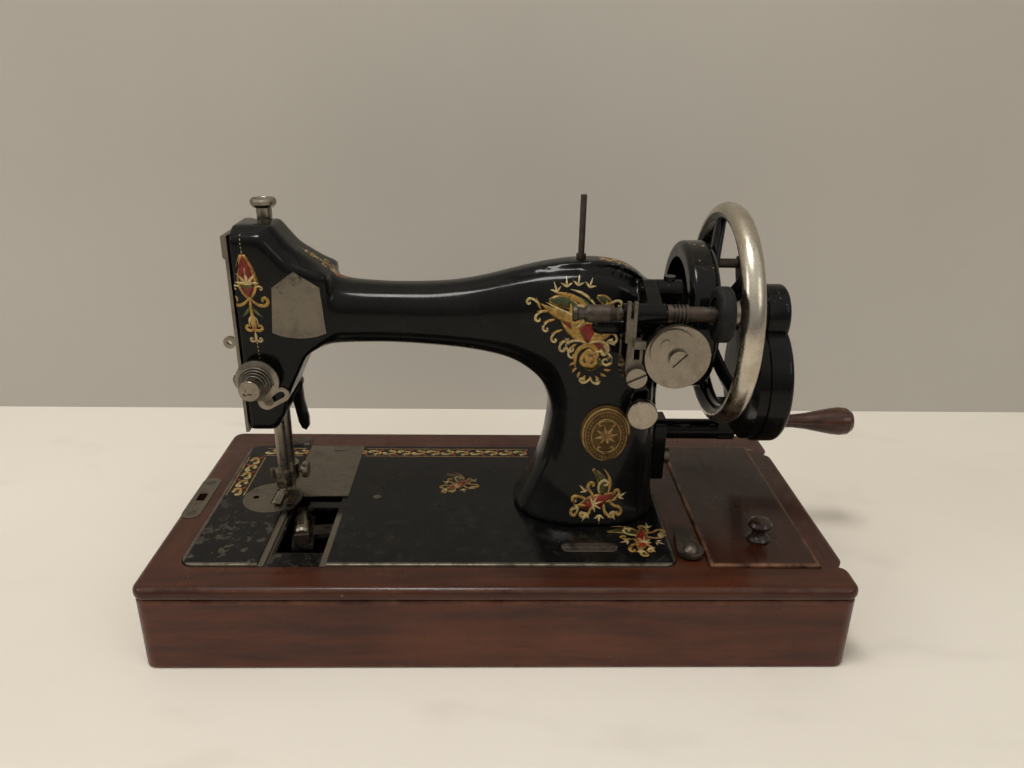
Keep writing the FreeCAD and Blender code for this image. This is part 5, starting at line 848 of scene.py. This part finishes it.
def medallion_design():
    """An oval medallion's relief: three plain rings, a ring of beads, an eight-petal rosette and four scrolls."""
    d = Drawing()
    for scale, width in ((0.985, 0.9), (0.88, 0.4), (0.62, 0.5)):
        angles = [k * math.tau / 40 for k in range(41)]
        ring = [(15.6 * scale * math.cos(angle), 19.9 * scale * math.sin(angle)) for angle in angles]
        d.stroke("brass_relief", ring, [width] * 41)
    for k in range(36):
        angle = k * math.tau / 36
        d.dot("brass_relief", 11.7 * math.cos(angle), 15.0 * math.sin(angle), 0.72)
    for k in range(8):
        d.leaf("brass_relief", 0, 0, k * math.tau / 8 + 0.2, 8.0, 1.6)
        d.leaf("brass_relief", 0, 0, (k + 0.5) * math.tau / 8 + 0.2, 5.2, 0.9)
    d.dot("brass_relief", 0, 0, 1.8)
    for up in (1, -1):
        for side in (1, -1):
            heading = math.pi / 2 * (1 - side) + up * side * 0.15
            d.curl("brass_relief", 0, up * 11.0, heading, 9.5, -up * side * 250, 0.7)
    return d


def number_pad(skin):
    """An oblong pad on the bed beside the pillar, its paint rubbed off down to the iron."""
    bm = bmesh.new()
    bmesh.ops.create_grid(bm, x_segments=24, y_segments=8, size=0.5)
    bmesh.ops.scale(bm, vec=(PAD_LENGTH, PAD_WIDTH, 1.0), verts=bm.verts)
    film = 0.00004
    for vert in bm.verts:
        ends = max(0.0, abs(vert.co.x) - PAD_STRAIGHT) / PAD_END
        vert.co.y *= math.sqrt(max(0.02, 1.0 - ends * ends))
        x, y = vert.co.x + PAD_X, vert.co.y + PAD_Y
        hit = skin.ray_cast(Vector((x, y, BED_TOP + 0.0135)), Vector((0, 0, -1)))[0]
        vert.co = (hit or Vector((x, y, BED_TOP))) + Vector((0, 0, film))
    bmesh.ops.inset_region(bm, faces=bm.faces, thickness=0.0006, depth=0.00018)
    bmesh.ops.solidify(bm, geom=bm.faces[:], thickness=film)
    mesh = bpy.data.meshes.new("number_pad")
    smooth_mesh(bm, mesh)
    place_piece("number_pad", mesh, "head", steel_dark)


def transfers(casting):
    """All the transfers, the number pad and the medallion's relief."""
    skin = skin_of(casting.data)
    front = ((1, 0, 0), (0, 0, 1))
    flat = ((1, 0, 0), (0, 1, 0))
    lay("head_transfer", head_design(), (-0.155, -0.025, 0.196), (1, 0, -0.02), (-0.06, 0, 1), skin)
    lay("pillar_transfer", pillar_design(), (0.057, -0.024, 0.194), *front, skin)
    lay("foot_transfer", foot_design(), (0.068, -0.030, 0.083), *front, skin)
    spray = head_design().turned(-90, 0.55)
    lay("shoulder_transfer", spray, (-0.118, -0.004, 0.245), (0.9, 0, -0.45), (0.1, 1, 0.35), skin)
    lay("crown_transfer", foot_design().turned(0, 0.62), (0.075, 0.0, 0.228), *flat, skin)
    bed_skin = skin_of(NODES["bed"].data)
    lay("back_border", border_design(210, 13), (-0.186, 0.062, BED_TOP), *flat, bed_skin)
    lay("left_border", border_design(60, 13), (-0.184, 0.000, BED_TOP), (0, 1, 0), (-1, 0, 0), bed_skin)
    number_pad(bed_skin)
    lay("corner_transfer", foot_design().turned(60, 1.0), (0.093, -0.052, BED_TOP), *flat, bed_skin)
    lay("middle_transfer", foot_design().turned(20, 0.8), (-0.030, 0.020, BED_TOP), *flat, bed_skin)
    badge_skin = skin_of(NODES["badge"].data)
    lay("medallion_relief", medallion_design(), (0.0701, -0.033, 0.1271), *front, badge_skin, "brass",
        flat=0.7, rise=1.2)


# The room: table, wall, lamps and the camera

def sheet_of(name, size_x, size_y, place, turn, material):
    """A flat rectangle of the room, which isn't part of the object."""
    mesh = bpy.data.meshes.new(name)
    bm = bmesh.new()
    bmesh.ops.create_grid(bm, x_segments=1, y_segments=1, size=0.5)
    bmesh.ops.scale(bm, vec=(size_x, size_y, 1.0), verts=bm.verts)
    bmesh.ops.transform(bm, matrix=Matrix.Translation(place) @ turn, verts=bm.verts)
    bm.to_mesh(mesh)
    bm.free()
    mesh.materials.append(material)
    obj = bpy.data.objects.new(name, mesh)
    bpy.context.scene.collection.objects.link(obj)


def room():
    upright = Matrix.Rotation(math.pi / 2, 4, "X")
    sheet_of("table", 8.0, 8.0, Vector((0, 0, 0)), Matrix.Identity(4), table_cloth("table_cloth"))
    sheet_of("wall", 7.0, 3.0, Vector((0, WALL_Y, 1.2)), upright, painted_wall("painted_wall"))


def lamp(name, place, target, power, size_x, size_y, tint):
    data = bpy.data.lights.new(name, "AREA")
    data.shape = "RECTANGLE"
    data.size = size_x
    data.size_y = size_y
    data.energy = power
    data.color = tint
    obj = bpy.data.objects.new(name, data)
    obj.location = place
    obj.rotation_euler = (Vector(target) - Vector(place)).to_track_quat("-Z", "Y").to_euler()
    bpy.context.scene.collection.objects.link(obj)


def lamps():
    middle = (0.0, 0.0, 0.12)
    warm, warmer = (1.0, 0.975, 0.935), (1.0, 0.97, 0.92)
    lamp("key", (-0.25, -0.35, 1.9), middle, 15.0, 0.55, 0.4, warm)
    lamp("fill", (1.3, -1.2, 1.2), middle, 3.0, 0.7, 0.7, warmer)
    lamp("left", (-1.5, -0.5, 1.0), middle, 3.5, 0.6, 0.8, warm)
    world = bpy.data.worlds.new("room_light")
    world.use_nodes = True
    t = Tree(world.node_tree)
    height = t.add("ShaderNodeSeparateXYZ", {"Vector": t.add("ShaderNodeTexCoord").outputs["Generated"]}).outputs[2]
    sky = t.mix(t.ramp(height, -0.1, 0.9), colour(0.16, 0.153, 0.14), colour(0.72, 0.69, 0.64))
    world.node_tree.links.new(sky, world.node_tree.nodes["Background"].inputs["Color"])
    world.node_tree.nodes["Background"].inputs["Strength"].default_value = 1.0
    bpy.context.scene.world = world


# The camera's place in metres, its angles in radians and its lens in millimetres on a 36 mm sensor
CAMERA_PLACE = Vector((-0.0050, -0.5067, 0.3579))
CAMERA_PITCH = 0.3894
CAMERA_YAW = 0.0263
CAMERA_ROLL = 0.0166
CAMERA_LENS = 28.07


def camera():
    look = Vector((math.sin(CAMERA_YAW) * math.cos(CAMERA_PITCH), math.cos(CAMERA_YAW) * math.cos(CAMERA_PITCH),
                   -math.sin(CAMERA_PITCH)))
    side = look.cross(Vector((0, 0, 1))).normalized()
    up = side.cross(look)
    right = side * math.cos(CAMERA_ROLL) + up * math.sin(CAMERA_ROLL)
    top = up * math.cos(CAMERA_ROLL) - side * math.sin(CAMERA_ROLL)
    data = bpy.data.cameras.new("camera")
    data.lens = CAMERA_LENS
    data.sensor_width = 36.0
    data.clip_start = 0.01
    obj = bpy.data.objects.new("camera", data)
    turn = Matrix((right, top, -look)).transposed().to_4x4()
    obj.matrix_world = Matrix.Translation(CAMERA_PLACE) @ turn
    bpy.context.scene.collection.objects.link(obj)
    bpy.context.scene.camera = obj


finish_nodes()
transfers(soft_casting())
room()
lamps()
camera()
bpy.context.scene.view_settings.view_transform = "Standard"
